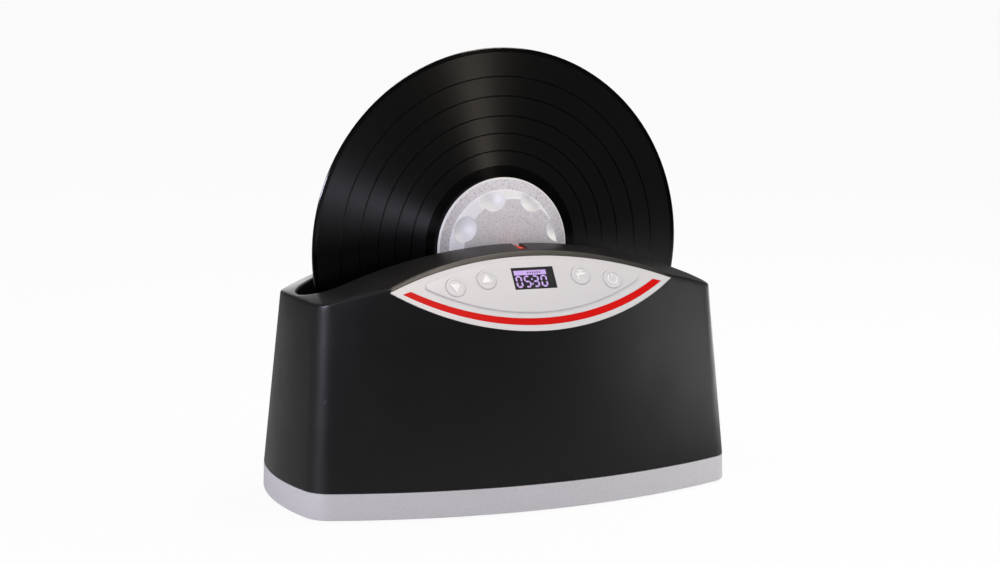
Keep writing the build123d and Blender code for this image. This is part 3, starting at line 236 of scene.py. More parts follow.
def painted_silver_abs(look):
    """ABS sprayed with a silver-grey lacquer: fine paler flakes under a satin coat."""
    material, tree, shader, where = new_material(
        "painted_silver_abs",
        {"Roughness": look.roughness, "IOR": 1.5, "Metallic": look.metallic},
    )
    join(tree, speckle(tree, where, look), shader, "Base Color")
    grain(tree, shader, where, look.fleck_mm, look.grain_depth_mm)
    return material


def satin_white_abs(name, colour, roughness):
    """White ABS, finely textured: a soft cool white with a weak highlight."""
    return even_finish(
        name, {"Base Color": linear(colour), "IOR": 1.5},
        patch_mm=9.0, roughness=roughness, swing=0.03, grain_mm=0.35, depth_mm=0.004,
    )


def gloss_red_film(look):
    """Inlaid polyester film, screen printed red on its back: even colour, a weak sheen."""
    return even_finish(
        "gloss_red_film",
        {"Base Color": linear(look.stripe_colour), "IOR": 1.57, "Specular IOR Level": 0.05},
        patch_mm=6.0, roughness=0.38, swing=0.04,
    )


def tinted_acrylic(look):
    """Cast acrylic over a display, tinted dark: nearly black with a clean reflection."""
    return even_finish(
        "tinted_acrylic", {"Base Color": linear(look.window_colour), "IOR": 1.49},
        patch_mm=12.0, roughness=0.16, swing=0.04,
    )


def lit_marks(look):
    """Light of a display through its window: an even lavender with a weak glow of its own."""
    colour = linear(look.light_colour)
    return even_finish(
        "lit_marks",
        {"Base Color": colour, "Emission Color": colour, "Emission Strength": look.light_strength},
        patch_mm=4.0, roughness=0.4, swing=0.05,
    )


def about_axis(tree, where):
    """Outputs for a point's place about the record's axis: outward vector, radius, depth."""
    centred = add_node(tree, "ShaderNodeMapping", {"Vector": where, "Location": -RECORD_CENTRE})
    split = add_node(tree, "ShaderNodeSeparateXYZ", {0: (centred, 0)})
    flat = add_node(tree, "ShaderNodeCombineXYZ", {"X": (split, 0), "Z": (split, 2)})
    radius = add_node(tree, "ShaderNodeVectorMath", {0: (flat, 0)}, operation="LENGTH")
    depth = add_node(tree, "ShaderNodeMath", {0: (split, 1)}, operation="ABSOLUTE")
    return (flat, 0), (radius, "Value"), (depth, 0)


def pressed_vinyl(look):
    """Vinyl, pressed: black, with grooves that draw each highlight into a fan across them."""
    material, tree, shader, where = new_material(
        "pressed_vinyl",
        {"Base Color": linear(look.colour), "IOR": 1.53, "Specular IOR Level": look.specular,
         "Anisotropic": look.anisotropy},
    )
    flat, radius, _ = about_axis(tree, where)
    outward = add_node(tree, "ShaderNodeVectorMath", {0: flat}, operation="NORMALIZE")
    across = add_node(
        tree, "ShaderNodeVectorTransform", {0: (outward, 0)},
        vector_type="VECTOR", convert_from="OBJECT", convert_to="WORLD",
    )
    join(tree, (across, 0), shader, "Tangent")
    # Grooves, less the plain rings between the tracks.
    grooved = between(tree, radius, look.label_edge_mm * MM, RECORD_RADIUS - look.bead_mm * MM)
    half = look.track_gap_mm / 2
    for track_end in look.track_ends_mm:
        plain = between(tree, radius, (track_end - half) * MM, (track_end + half) * MM)
        grooved = maths(tree, "SUBTRACT", grooved, plain, use_clamp=True)
    # Loud and quiet turns of the groove, drawn wider than the real 0.1 mm so that they show.
    turns = maths(tree, "MULTIPLY", radius, 1 / (look.groove_mm * MM))
    rings = add_node(
        tree, "ShaderNodeTexNoise", {"W": turns, "Scale": 1.0, "Detail": 4.0},
        noise_dimensions="1D",
    )
    relief = maths(tree, "MULTIPLY", (rings, 0), grooved)
    bump(tree, shader, relief, look.groove_depth_mm)
    ends = (look.roughness - look.roughness_swing, look.roughness + look.roughness_swing)
    groove_rough = mapped(tree, (rings, 0), NOISE_RANGE, ends)
    rough = mixed_value(tree, grooved, look.plain_roughness, groove_rough)
    join(tree, rough, shader, "Roughness")
    return material


def silvered_polystyrene(look):
    """Polystyrene clamp: faces lacquered a speckled silver, tapers and scoops left bright."""
    material, tree, shader, where = new_material(
        "silvered_polystyrene",
        {"IOR": 1.55, "Metallic": look.metallic, "Specular IOR Level": look.specular},
    )
    _, radius, depth = about_axis(tree, where)
    on_face = maths(tree, "GREATER_THAN", depth, CLAMP_REACH - CLAMP_FACE_DEPTH_MM * MM)
    flange = between(tree, radius, look.knob_foot_mm * MM, CLAMP_RADIUS - look.rim_mm * MM)
    lacquered = maths(tree, "MAXIMUM", on_face, flange)
    bright = linear(look.bright_colour)
    colour = mixed_colour(tree, lacquered, bright, speckle(tree, where, look))
    join(tree, colour, shader, "Base Color")
    rough = mixed_value(tree, lacquered, look.bright_roughness, look.roughness)
    join(tree, rough, shader, "Roughness")
    grain(tree, shader, where, look.fleck_mm, look.grain_depth_mm)
    return material


def orange_nylon(look):
    """Glass-filled nylon, orange: a dry bearing sleeve with a faint drag of light."""
    return even_finish(
        "orange_nylon", {"Base Color": linear(look.sleeve_colour), "IOR": 1.53},
        patch_mm=2.0, roughness=0.44, swing=0.06, grain_mm=0.4, depth_mm=0.006,
    )


def brushed_stainless():
    """Stainless sheet, pressed and brushed along X: long fine scratches, a soft streak."""
    material, tree, shader, where = new_material(
        "brushed_stainless", {"Metallic": 1.0, "Base Color": linear("C9CACC")}
    )
    stretched = add_node(tree, "ShaderNodeMapping", {"Vector": where, "Scale": (0.04, 1.0, 1.0)})
    scratches = noise(tree, (stretched, 0), size_mm=0.5, detail=3.0)
    join(tree, mapped(tree, scratches, (0.0, 1.0), (0.22, 0.42)), shader, "Roughness")
    bump(tree, shader, scratches, depth_mm=0.004)
    return material


def turned_metal(name, colour, roughness):
    """Turned or plated metal: fine tool marks that only break up the highlight."""
    return even_finish(
        name, {"Metallic": 1.0, "Base Color": linear(colour)},
        patch_mm=1.5, roughness=roughness, swing=0.05, grain_mm=0.25, depth_mm=0.003,
    )


def matt_plastic(name, colour, roughness=0.5):
    """Plain moulded plastic of an inner piece: a dry, finely mottled surface."""
    return even_finish(
        name, {"Base Color": linear(colour), "IOR": 1.5},
        patch_mm=5.0, roughness=roughness, swing=0.05, grain_mm=0.6, depth_mm=0.01,
    )


def soft_rubber(name, colour):
    """Moulded nitrile rubber: dull, with a fine pebble that keeps highlights broad."""
    return even_finish(
        name, {"Base Color": linear(colour), "IOR": 1.52},
        patch_mm=3.0, roughness=0.7, swing=0.08, grain_mm=0.5, depth_mm=0.02,
    )


def green_laminate():
    """Glass-epoxy board under green solder mask: a faint weave under a smooth coat."""
    return even_finish(
        "green_laminate", {"Base Color": linear("1C5A34"), "IOR": 1.52},
        patch_mm=1.0, roughness=0.325, swing=0.075, grain_mm=0.6, depth_mm=0.004,
    )


# ---------------------------------------------------------------- making meshes
# Vertices nearer to each other than this become one, so that faces share their edges.
WELD_MM = 0.0005
CREASE_DEGREES = 25.0

LOZENGE_STEPS = 6
CORNER_STEPS = 5
RIDGE_STEPS = 40
RIDGE_POINTS = 9
RIDGE_END_STEPS = 2


def clothe(obj, material):
    """Gives an object one material and shades it smooth."""
    mesh = obj.data
    mesh.materials.clear()
    mesh.materials.append(material)
    mesh.polygons.foreach_set("use_smooth", np.ones(len(mesh.polygons), bool))


def finish(material, *names):
    """Gives nodes a material. They are shaded smooth except along their sharper edges."""
    for name in names:
        obj = NODES[name]
        clothe(obj, material)
        weld = obj.modifiers.new("weld", "WELD")
        weld.merge_threshold = WELD_MM * MM
        split = obj.modifiers.new("creases", "EDGE_SPLIT")
        split.split_angle = math.radians(CREASE_DEGREES)
        split.use_edge_sharp = False


def mesh_object(name, points, faces, material):
    """Object made of an array of points and a list of faces."""
    mesh = bpy.data.meshes.new(name)
    mesh.from_pydata(points.tolist(), [], faces)
    mesh.validate()
    obj = bpy.data.objects.new(name, mesh)
    bpy.context.scene.collection.objects.link(obj)
    clothe(obj, material)
    return obj


def mesh_piece(name, points, faces, material, body):
    """Object made of points and faces, riding on a body."""
    obj = mesh_object(name, points, faces, material)
    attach(obj, body)
    return obj


def ring_faces(rings, around):
    """Quads between rings of points, each ring closed on itself."""
    ring = np.arange(rings - 1)[:, None] * around
    here = np.arange(around)[None, :]
    after = (here + 1) % around
    quads = np.stack(
        [ring + here, ring + after, ring + around + after, ring + around + here], axis=-1
    )
    return quads.reshape(-1, 4)


def lozenge(outline, height, sink, dome=0.25):
    """Raised mark on the XY plane: rings of an outline drawn in as its edge rounds over.

    outline is a closed row of points in millimetres. Each ring is the outline scaled about its
    middle by a share that falls from 1 to 1 - dome. Its height is that of a quarter ellipse,
    height * sqrt(1 - ((share - (1 - dome)) / dome) ** 2), and the first ring is sunk.
    """
    centre = outline.mean(0)
    drawn_in = dome * np.linspace(0, 1, LOZENGE_STEPS)[1:] ** 1.5
    shares = np.concatenate([[1.0, 1.0], 1 - drawn_in])
    rise = height * np.sqrt(np.clip(1 - ((shares - (1 - dome)) / dome) ** 2, 0, 1))
    rise[0], rise[1] = -sink, 0.0
    rings = centre + shares[:, None, None] * (outline - centre)
    heights = np.broadcast_to(rise[:, None, None], rings.shape[:2] + (1,))
    points = np.concatenate([rings, heights], axis=-1).reshape(-1, 3)
    around = len(outline)
    faces = ring_faces(len(shares), around).tolist()
    last = (len(shares) - 1) * around
    faces.append(list(range(last, last + around)))
    faces.append(list(range(around))[::-1])
    return points, faces


def joined(parts):
    """Several (points, faces) pairs as one."""
    points, faces, count = [], [], 0
    for part_points, part_faces in parts:
        points.append(part_points)
        faces.extend([[i + count for i in face] for face in part_faces])
        count += len(part_points)
    return np.concatenate(points), faces


def placed(points, matrix):
    """Points in millimetres on the panel's face, moved into the frame in metres."""
    turn = np.array(matrix.to_3x3())
    return points * MM @ turn.T + np.array(matrix.translation)


def rounded_polygon(corners, radius):
    """Closed outline with each corner rounded by a quadratic curve between its two sides."""
    corners = np.array(corners, float)
    before = np.roll(corners, 1, axis=0) - corners
    after = np.roll(corners, -1, axis=0) - corners
    start = corners + before / np.linalg.norm(before, axis=1)[:, None] * radius
    end = corners + after / np.linalg.norm(after, axis=1)[:, None] * radius
    t = np.linspace(0, 1, CORNER_STEPS)[None, :, None]
    curve = (1 - t) ** 2 * start[:, None] + 2 * t * (1 - t) * corners[:, None] + t**2 * end[:, None]
    return curve.reshape(-1, 2)


def bar(centre, width, height, radius):
    """Rounded rectangle as an outline."""
    x, y = width / 2, height / 2
    corners = [(x, y), (-x, y), (-x, -y), (x, -y)]
    return rounded_polygon(np.array(corners) + centre, radius)


def band_mark(radius, width, start, end, height, sink):
    """Half-round ridge carried along an arc between two angles in degrees.

    Across the ridge its height is height * sin(pi * share of the width), and its first and
    last steps are lower.
    """
    angle = np.radians(np.linspace(start, end, RIDGE_STEPS))[:, None]
    share = np.linspace(0, 1, RIDGE_POINTS)[None, :]
    at = radius + (share - 0.5) * width * np.ones_like(angle)
    rise = height * np.sin(np.pi * share) * np.ones_like(angle)
    from_end = np.clip((np.arange(RIDGE_STEPS) + 1) / RIDGE_END_STEPS, 0, 1)
    taper = np.sin(np.pi / 2 * from_end)[:, None]
    taper = np.minimum(taper, taper[::-1])
    top = np.stack([at * np.cos(angle), at * np.sin(angle), rise * taper], axis=-1)
    low = top[:, ::-1] * [1, 1, 0] + [0, 0, -sink]
    rings = np.concatenate([top, low], axis=1)
    around = rings.shape[1]
    faces = [face[::-1] for face in ring_faces(RIDGE_STEPS, around).tolist()]
    last = (RIDGE_STEPS - 1) * around
    faces.append(list(range(around)))
    faces.append(list(range(last, last + around))[::-1])
    return rings.reshape(-1, 3), faces


# ---------------------------------------------------------------- settings
def hex_setting(name, description, default):
    """Setting that holds an sRGB colour as six hexadecimal digits."""
    return StringProperty(name=name, description=description, default=default)


def number_setting(name, description, default, **options):
    """Setting that holds a number."""
    return FloatProperty(name=name, description=description, default=default, **options)


def share_setting(name, description, default):
    """Setting that holds a number from zero to one."""
    return number_setting(name, description, default, min=0, max=1)


class CasingLook(bpy.types.PropertyGroup):
    colour: hex_setting("Colour", "sRGB hex of the black moulding", "121213")
    roughness: share_setting("Roughness", "Of the satin surface", 0.4)
    specular: share_setting("Specular", "Level of its reflection", 0.42)
    patch_mm: number_setting("Patch", "Size of roughness patches in mm", 30.0)
    grain_mm: number_setting("Grain", "Size of the moulded grain in mm", 0.5)
    grain_depth_mm: number_setting("Grain depth", "In mm", 0.008)


class BaseLook(bpy.types.PropertyGroup):
    colour: hex_setting("Colour", "sRGB hex of the lacquer", "D7D5DB")
    fleck_colour: hex_setting("Fleck colour", "sRGB hex of its flakes", "E1DFE5")
    fleck_mm: number_setting("Flecks", "Size of the flakes in mm", 0.7)
    fleck_share: share_setting("Fleck share", "Of the surface", 0.3)
    roughness: share_setting("Roughness", "Of the lacquer", 0.4)
    metallic: share_setting("Metallic", "Of the lacquer", 0.15)
    grain_depth_mm: number_setting("Grain depth", "In mm", 0.01)


class PanelLook(bpy.types.PropertyGroup):
    colour: hex_setting("Colour", "sRGB hex of the white plate", "D8D7DA")
    painted_highlight_button_colour: hex_setting("Buttons", "sRGB hex of the buttons", "DAD9DC")
    # Whiter than the buttons as a painted highlight: the marks are raised in the same white
    # plastic.
    painted_highlight_mark_colour: hex_setting("Marks", "sRGB hex of the raised marks", "F6F6F8")
    stripe_colour: hex_setting("Stripe", "sRGB hex of the stripe", "DA0806")
    roughness: share_setting("Roughness", "Of the plate and the buttons", 0.38)
    mark_roughness: share_setting("Mark roughness", "Of the raised marks", 0.33)
    mark_height_mm: number_setting("Mark height", "Of the raised marks in mm", 0.45)


class DisplayLook(bpy.types.PropertyGroup):
    window_colour: hex_setting("Window", "sRGB hex of the window", "2A2A2E")
    light_colour: hex_setting("Light", "sRGB hex of the marks", "B79ADC")
    light_strength: number_setting("Light strength", "Of the marks", 0.25)
    mark_mm: number_setting("Mark thickness", "In mm", 0.05)


class RecordLook(bpy.types.PropertyGroup):
    colour: hex_setting("Colour", "sRGB hex of the vinyl", "020202")
    specular: share_setting("Specular", "Level of its reflection", 0.5)
    roughness: share_setting("Roughness", "Mean of the grooves", 0.5)
    roughness_swing: share_setting("Roughness swing", "Either way, from groove to groove", 0.06)
    plain_roughness: share_setting("Plain roughness", "Of the vinyl without grooves", 0.22)
    anisotropy: share_setting("Anisotropy", "Of the grooves", 0.97)
    groove_mm: number_setting("Groove", "Width of a drawn groove in mm", 0.8)
    groove_depth_mm: number_setting("Groove depth", "In mm", 0.006)
    label_edge_mm: number_setting("Innermost groove", "Radius in mm", 62.0)
    track_ends_mm: FloatVectorProperty(
        name="Track ends", description="Radii of the plain rings between the tracks, in mm",
        default=(129.2, 114.4, 99.5, 86.3, 73.2), size=5,
    )
    track_gap_mm: number_setting("Track gap", "Width of a plain ring in mm", 1.1)
    bead_mm: number_setting("Rim bead", "Width of the plain rim in mm", 3.5)


class ClampLook(bpy.types.PropertyGroup):
    colour: hex_setting("Lacquer", "sRGB hex of the faces", "F4F0F5")
    fleck_colour: hex_setting("Flecks", "sRGB hex of the flecks", "C6C1C8")
    bright_colour: hex_setting("Bright", "sRGB hex of tapers and scoops", "F4F4F7")
    fleck_mm: number_setting("Fleck size", "In mm", 0.7)
    fleck_share: share_setting("Fleck share", "Of the lacquered faces", 0.24)
    roughness: share_setting("Roughness", "Of the lacquered faces", 0.48)
    bright_roughness: share_setting("Bright roughness", "Of tapers and scoops", 0.6)
    metallic: share_setting("Metallic", "Of the lacquer", 0.1)
    specular: share_setting("Specular", "Level of its reflection", 0.25)
    grain_depth_mm: number_setting("Grain depth", "In mm", 0.01)
    knob_foot_mm: number_setting("Knob foot", "Radius of the knob's foot in mm", 44.4)
    rim_mm: number_setting("Rim", "Width of the bright rim in mm", 1.2)
    sleeve_colour: hex_setting("Sleeves", "sRGB hex of the sleeves", "F0400E")


class StageLook(bpy.types.PropertyGroup):
    camera_place: FloatVectorProperty(
        name="Camera", description="Its place", default=(-0.59799, -1.33447, 0.37568),
        subtype="TRANSLATION", unit="LENGTH",
    )
    camera_pan: number_setting("Pan", "To the right of +Y", 0.422, subtype="ANGLE")
    camera_tilt: number_setting("Tilt", "Above level", -0.148, subtype="ANGLE")
    camera_roll: number_setting("Roll", "Clockwise", 0.013, subtype="ANGLE")
    lens_mm: number_setting("Lens", "Focal length in mm", 69.517)
    floor_colour: hex_setting("Floor", "sRGB hex of the floor", "F4F4F5")
    floor_width: number_setting("Width", "Of the floor", 12.0, unit="LENGTH")
    floor_white: share_setting("Floor white", "Share shown as white", 0.93)
    floor_glow: number_setting("Floor glow", "In reflections, beside and behind", 0.42)
    floor_far_share: share_setting("Far floor", "Share of its glow left far behind", 0.3)
    floor_right_glow: number_setting("Right glow", "In reflections, to the right", 5.0)
    world_light: number_setting("World", "Light from the sides and above", 0.52)
    front_light: number_setting("Front light", "Light from the front", 0.3)
    front_glow: number_setting("Front glow", "In reflections, from the front", 0.005)
    side_glow: number_setting("Side glow", "In reflections, from the sides", 0.03)
    back_left_glow: number_setting("Back left glow", "In reflections, behind left", 0.17)
    back_right_glow: number_setting("Back right glow", "In reflections, behind right", 0.48)
    high_glow: number_setting("High glow", "Added in reflections from above", 0.3)


class Looks(bpy.types.PropertyGroup):
    casing: PointerProperty(type=CasingLook)
    base: PointerProperty(type=BaseLook)
    panel: PointerProperty(type=PanelLook)
    display: PointerProperty(type=DisplayLook)
    record: PointerProperty(type=RecordLook)
    clamp: PointerProperty(type=ClampLook)
    stage: PointerProperty(type=StageLook)


def looks():
    """The scene's settings."""
    return bpy.context.scene.record_cleaner_look


# ---------------------------------------------------------------- casing and panel
MARK_SINK_MM = 0.1
DISH_DEPTH_MM = 0.35
TRIANGLE_RADIUS_MM = 4.9
TRIANGLE_CORNER_MM = 0.6
TRIANGLE_DOME = 0.12
# The tap's lever, stem, barrel and spout: centre, width, height and corner, in millimetres.
TAP_BARS = (
    ((0.6, 3.3), 4.2, 1.1, 0.5),
    ((0.6, 2.4), 1.4, 1.6, 0.4),
    ((0.7, 0.9), 6.6, 2.3, 0.7),
    ((-2.3, 0.1), 2.0, 3.6, 0.8),
)
DROP_CENTRE_MM = (-2.2, -3.1)
DROP_RADIUS_MM = 0.9
DROP_STRETCH = 0.35
DROP_STEPS = 16
POWER_RADIUS_MM = 3.7
POWER_STROKE_MM = 1.2
POWER_HALF_GAP_DEGREES = 36
POWER_BAR = ((0, 2.9), POWER_STROKE_MM, 4.0, 0.5)


class RC_OT_casing(bpy.types.Operator):
    """Finish the black housing and the silver-grey base"""

    bl_idname = "record_cleaner.casing"
    bl_label = "Casing"

    def execute(self, context):
        finish(moulded_black_abs(looks().casing), "housing_shell")
        finish(painted_silver_abs(looks().base), "base_tray")
        finish(soft_rubber("foot_rubber", "262626"), "rubber_feet")
        return {"FINISHED"}


class RC_OT_panel(bpy.types.Operator):
    """Finish the white panel, its red stripe and its buttons"""

    bl_idname = "record_cleaner.panel"
    bl_label = "Panel"

    def execute(self, context):
        panel = looks().panel
        plate = satin_white_abs("panel_white_abs", panel.colour, panel.roughness)
        finish(plate, "control_panel")
        finish(gloss_red_film(panel), "red_stripe")
        key = satin_white_abs("key_white_abs", panel.painted_highlight_button_colour, panel.roughness)
        finish(key, "down_button", "up_button", "tap_button", "power_button")
        return {"FINISHED"}


def triangle_mark(turn, height):
    """Triangle that points up, or down for a turn of half a circle."""
    angle = np.radians(np.array([90, 210, 330])) + turn
    corners = TRIANGLE_RADIUS_MM * np.stack([np.cos(angle), np.sin(angle)], axis=-1)
    outline = rounded_polygon(corners, TRIANGLE_CORNER_MM)
    return [lozenge(outline, height, MARK_SINK_MM, TRIANGLE_DOME)]


def tap_mark(height):
    """Tap from the side: a lever on its stem, a barrel, a spout that turns down and a drop."""
    outlines = [bar(*row) for row in TAP_BARS]
    angle = np.linspace(0, 2 * np.pi, DROP_STEPS + 1)[:-1]
    stretch = 1 + DROP_STRETCH * np.sin(angle)
    drop = np.stack([np.cos(angle), np.sin(angle) * stretch], axis=-1)
    outlines.append(drop * DROP_RADIUS_MM + DROP_CENTRE_MM)
    return [lozenge(outline, height, MARK_SINK_MM) for outline in outlines]


def power_mark(height):
    """Open ring with a bar in its gap."""
    start = 90 + POWER_HALF_GAP_DEGREES
    end = 450 - POWER_HALF_GAP_DEGREES
    ring = band_mark(POWER_RADIUS_MM, POWER_STROKE_MM, start, end, height, MARK_SINK_MM)
    return [ring, lozenge(bar(*POWER_BAR), height, MARK_SINK_MM)]


class RC_OT_button_marks(bpy.types.Operator):
    """Raise the marks on the four buttons; their whiter colour is a painted highlight"""

    bl_idname = "record_cleaner.button_marks"
    bl_label = "Button marks"

    def execute(self, context):
        panel = looks().panel
        height = panel.mark_height_mm
        # The marks are raised for real. Their whiter colour is a painted highlight on the same
        # plastic as the buttons.
        painted_highlight_mark_white = satin_white_abs("mark_abs_painted_highlight", panel.painted_highlight_mark_colour, panel.mark_roughness)
        marks = {
            "down_button": triangle_mark(math.pi, height),
            "up_button": triangle_mark(0.0, height),
            "tap_button": tap_mark(height),
            "power_button": power_mark(height),
        }
        for name, parts in marks.items():
            points, faces = joined(parts)
            points = placed(points, panel_place(name, -DISH_DEPTH_MM))
            piece = mesh_piece(name.replace("button", "mark"), points, faces, painted_highlight_mark_white, name)
        return {"FINISHED"}


# ---------------------------------------------------------------- display
DIGIT_SEGMENTS = {
    "0": "abcdef", "1": "bc", "2": "abdeg", "3": "abcdg", "4": "bcfg",
    "5": "acdfg", "6": "acdefg", "7": "abc", "8": "abcdefg", "9": "abcdfg",
}
# Places and sizes in millimetres, from the middle of the window.
DISPLAY_SINK_MM = 0.02
BAND = ((-2.3, 4.6), 26.0, 3.8, 0.2)
NOTCH_LEFT_MM = -4.0
NOTCH_PITCH_MM = 1.9
NOTCH_SIZE_MM = (0.9, 1.3, 0.2)
NOTCH_COUNT = 6
DIGITS = "0530"
DIGIT_LEFT_MM = -14.4
DIGIT_LOW_MM = -6.8
DIGIT_WIDTH_MM = 3.9
DIGIT_HEIGHT_MM = 8.4
DIGIT_STROKE_MM = 1.4
DIGIT_PITCH_MM = 6.7
DIGIT_GAP = 0.15
DOT_X_MM = -1.9
DOT_Y_MM = (-4.6, -0.8)
DOT_SIZE_MM = (1.3, 1.3, 0.3)


def digit(text, left):
    """Outlines of a seven-segment digit; each lit segment is a bar with pointed ends."""
    low = DIGIT_LOW_MM
    middle, right, top = low + DIGIT_HEIGHT_MM / 2, left + DIGIT_WIDTH_MM, low + DIGIT_HEIGHT_MM
    ends = {
        "a": ((left, top), (right, top)),
        "b": ((right, middle), (right, top)),
        "c": ((right, low), (right, middle)),
        "d": ((left, low), (right, low)),
        "e": ((left, low), (left, middle)),
        "f": ((left, middle), (left, top)),
        "g": ((left, middle), (right, middle)),
    }
    outlines = []
    for segment in DIGIT_SEGMENTS[text]:
        start, end = (np.array(point, float) for point in ends[segment])
        along = (end - start) / np.linalg.norm(end - start)
        across = np.array((-along[1], along[0])) * DIGIT_STROKE_MM / 2
        gap = along * DIGIT_STROKE_MM * DIGIT_GAP
        start, end = start + gap, end - gap
        inner = along * DIGIT_STROKE_MM / 2
        outlines.append(np.array([
            start, start + inner - across, end - inner - across,
            end, end - inner + across, start + inner + across,
        ]))
    return outlines


def display_piece(name, outlines, lift_mm, thickness_mm, material):
    """Thin marks in front of the window."""
    parts = [lozenge(outline, thickness_mm, DISPLAY_SINK_MM) for outline in outlines]
    points, faces = joined(parts)
    points = placed(points, panel_place("display_window", lift_mm))
    return mesh_piece(name, points, faces, material, "root")


class RC_OT_display(bpy.types.Operator):
    """Finish the display: dark window, a lit bar with notches and a row of digits"""

    bl_idname = "record_cleaner.display"
    bl_label = "Display"

    def execute(self, context):
        display = looks().display
        thickness = display.mark_mm
        window = tinted_acrylic(display)
        finish(window, "display_window", "display_module")
        outlines = [bar(*BAND)]
        for place, text in enumerate(DIGITS):
            outlines += digit(text, DIGIT_LEFT_MM + DIGIT_PITCH_MM * place)
        outlines += [bar((DOT_X_MM, y), *DOT_SIZE_MM) for y in DOT_Y_MM]
        piece = display_piece("display_marks", outlines, 0.0, thickness, lit_marks(display))
        notches = [
            bar((NOTCH_LEFT_MM + NOTCH_PITCH_MM * i, BAND[0][1]), *NOTCH_SIZE_MM)
            for i in range(NOTCH_COUNT)
        ]
        piece = display_piece("display_notches", notches, thickness, thickness, window)
        return {"FINISHED"}


# ---------------------------------------------------------------- record, clamp and inside
class RC_OT_record(bpy.types.Operator):
    """Finish the record"""

    bl_idname = "record_cleaner.record"
    bl_label = "Record"

    def execute(self, context):
        finish(pressed_vinyl(looks().record), "record")
        return {"FINISHED"}


class RC_OT_clamp(bpy.types.Operator):
    """Finish the label clamp, its seals, axle, sleeves and gears"""

    bl_idname = "record_cleaner.clamp"
    bl_label = "Clamp and axle"

    def execute(self, context):
        clamp = looks().clamp
        silver = silvered_polystyrene(clamp)
        finish(silver, "front_clamp", "rear_clamp", "front_clamp_cap", "rear_clamp_cap")
        finish(soft_rubber("seal_rubber", "1E1E1E"), "front_seal", "rear_seal")
        finish(orange_nylon(clamp), "front_bush", "rear_bush")
        steel = turned_metal("ground_steel", "C4C5C8", 0.25)
        finish(steel, "spindle", "axle_pin", "output_shaft")
        acetal = matt_plastic("natural_acetal", "E6E4DC", 0.4)
        finish(acetal, "spindle_gear", "drive_pinion", "motor_gearbox")
        return {"FINISHED"}


class RC_OT_tank(bpy.types.Operator):
    """Finish the tank, its gasket, sound heads and drain"""

    bl_idname = "record_cleaner.tank"
    bl_label = "Tank and drain"

    def execute(self, context):
        finish(brushed_stainless(), "tank", "tank_outlet", "transducer_weights")
        finish(turned_metal("turned_aluminium", "C8CACD", 0.35), "transducer_horns")
        finish(matt_plastic("silvered_ceramic", "8C8676"), "piezo_stacks")
        finish(turned_metal("turned_brass", "B89A58", 0.3), "drain_valve")
        finish(matt_plastic("coil_black_nylon", "1C1C1C"), "valve_coil")
        finish(matt_plastic("spigot_grey_nylon", "4A4A4C", 0.42), "drain_spigot")
        finish(soft_rubber("gasket_rubber", "3A3A3A"), "tank_gasket")
        return {"FINISHED"}


class RC_OT_electronics(bpy.types.Operator):
    """Finish the boards, motor, socket and screws"""

    bl_idname = "record_cleaner.electronics"
    bl_label = "Boards, motor and screws"

    def execute(self, context):
        finish(green_laminate(), "main_board", "driver_board", "button_board")
        epoxy = matt_plastic("black_epoxy", "202022", 0.55)
        finish(epoxy, "main_board_parts", "driver_board_parts", "button_switches")
        zinc = turned_metal("bright_zinc", "BFC2C6", 0.28)
        finish(zinc, "motor_bracket", "drive_motor", "socket_nut")
        finish(zinc, "motor_screws", "panel_screws", "board_screws", "base_screws")
        finish(matt_plastic("socket_black_nylon", "161616", 0.4), "power_socket")
        return {"FINISHED"}


# ---------------------------------------------------------------- stage
# The floor is straight, turns up through a quarter of a circle, and is straight again.
BEND_RADIUS = 1.5
BEND_STEPS = 24
# Where the floor's glow in reflections changes, along Y and along X. The pool is a bright
# patch to the right of the object.
FLOOR_FRONT_Y = (-1.0, -0.25)
FLOOR_BACK_Y = (0.5, 2.4)
POOL_FRONT_Y = (-1.1, -0.7)
POOL_LEFT_X = (0.45, 0.9)
POOL_RIGHT_X = (0.9, 1.4)
# Where the world's light changes, as the X, Y or Z of the way it is seen in.
GLOW_FRONT_Y = (-0.9, -0.5)
GLOW_ACROSS_X = (-0.5, 0.2)
GLOW_BEHIND_Y = (0.1, 0.7)
GLOW_HIGH_Z = (0.85, 0.97)
LIGHT_FRONT_Y = (-0.9, -0.2)

# Lamps: name, place, target, width and height, power in watts, colour.
MACHINE_CENTRE = Vector((0, 0, 0.15))
TOP_LAMP = ("top_softbox", (0.5, 0.1, 1.7), MACHINE_CENTRE, (0.6, 0.6), 10, "FFF6EA")
# Broad fills, which leave no mark on glossy faces.
FILLS = (
    ("high_front_softbox", (0.35, -0.65, 1.55), MACHINE_CENTRE, (0.4, 0.25), 2, "FFF6EA"),
    ("left_softbox", (-1.9, -0.5, 0.6), MACHINE_CENTRE, (0.6, 1.3), 13, "F4F0FF"),
    ("right_softbox", (1.7, -0.7, 0.75), MACHINE_CENTRE, (1.1, 1.5), 12, "FFFFFF"),
)
# Small lamps for glossy faces alone. They draw the two fans on the record's grooves and the
# band on the casing's left corner.
GLINTS = (
    ("left_glint", (-1.78, -0.72, 0.84), RECORD_CENTRE, (0.3, 0.3), 26, "EEE8FF"),
    ("high_glint", (0.32, -0.75, 1.5), RECORD_CENTRE, (0.25, 0.2), 9, "FFF2E0"),
)
SENSOR_MM = 36.0
CLIP_END = 100.0


def camera_matrix(stage):
    """Matrix of a camera that pans right of +Y, tilts up and then rolls."""
    pan, tilt, roll = stage.camera_pan, stage.camera_tilt, stage.camera_roll
    ahead = Vector((math.sin(pan) * math.cos(tilt), math.cos(pan) * math.cos(tilt), math.sin(tilt)))
    level = Vector((math.cos(pan), -math.sin(pan), 0))
    above = level.cross(ahead)
    right = math.cos(roll) * level + math.sin(roll) * above
    up = math.cos(roll) * above - math.sin(roll) * level
    matrix = Matrix((right, up, -ahead)).transposed().to_4x4()
    matrix.translation = Vector(stage.camera_place)
    return matrix


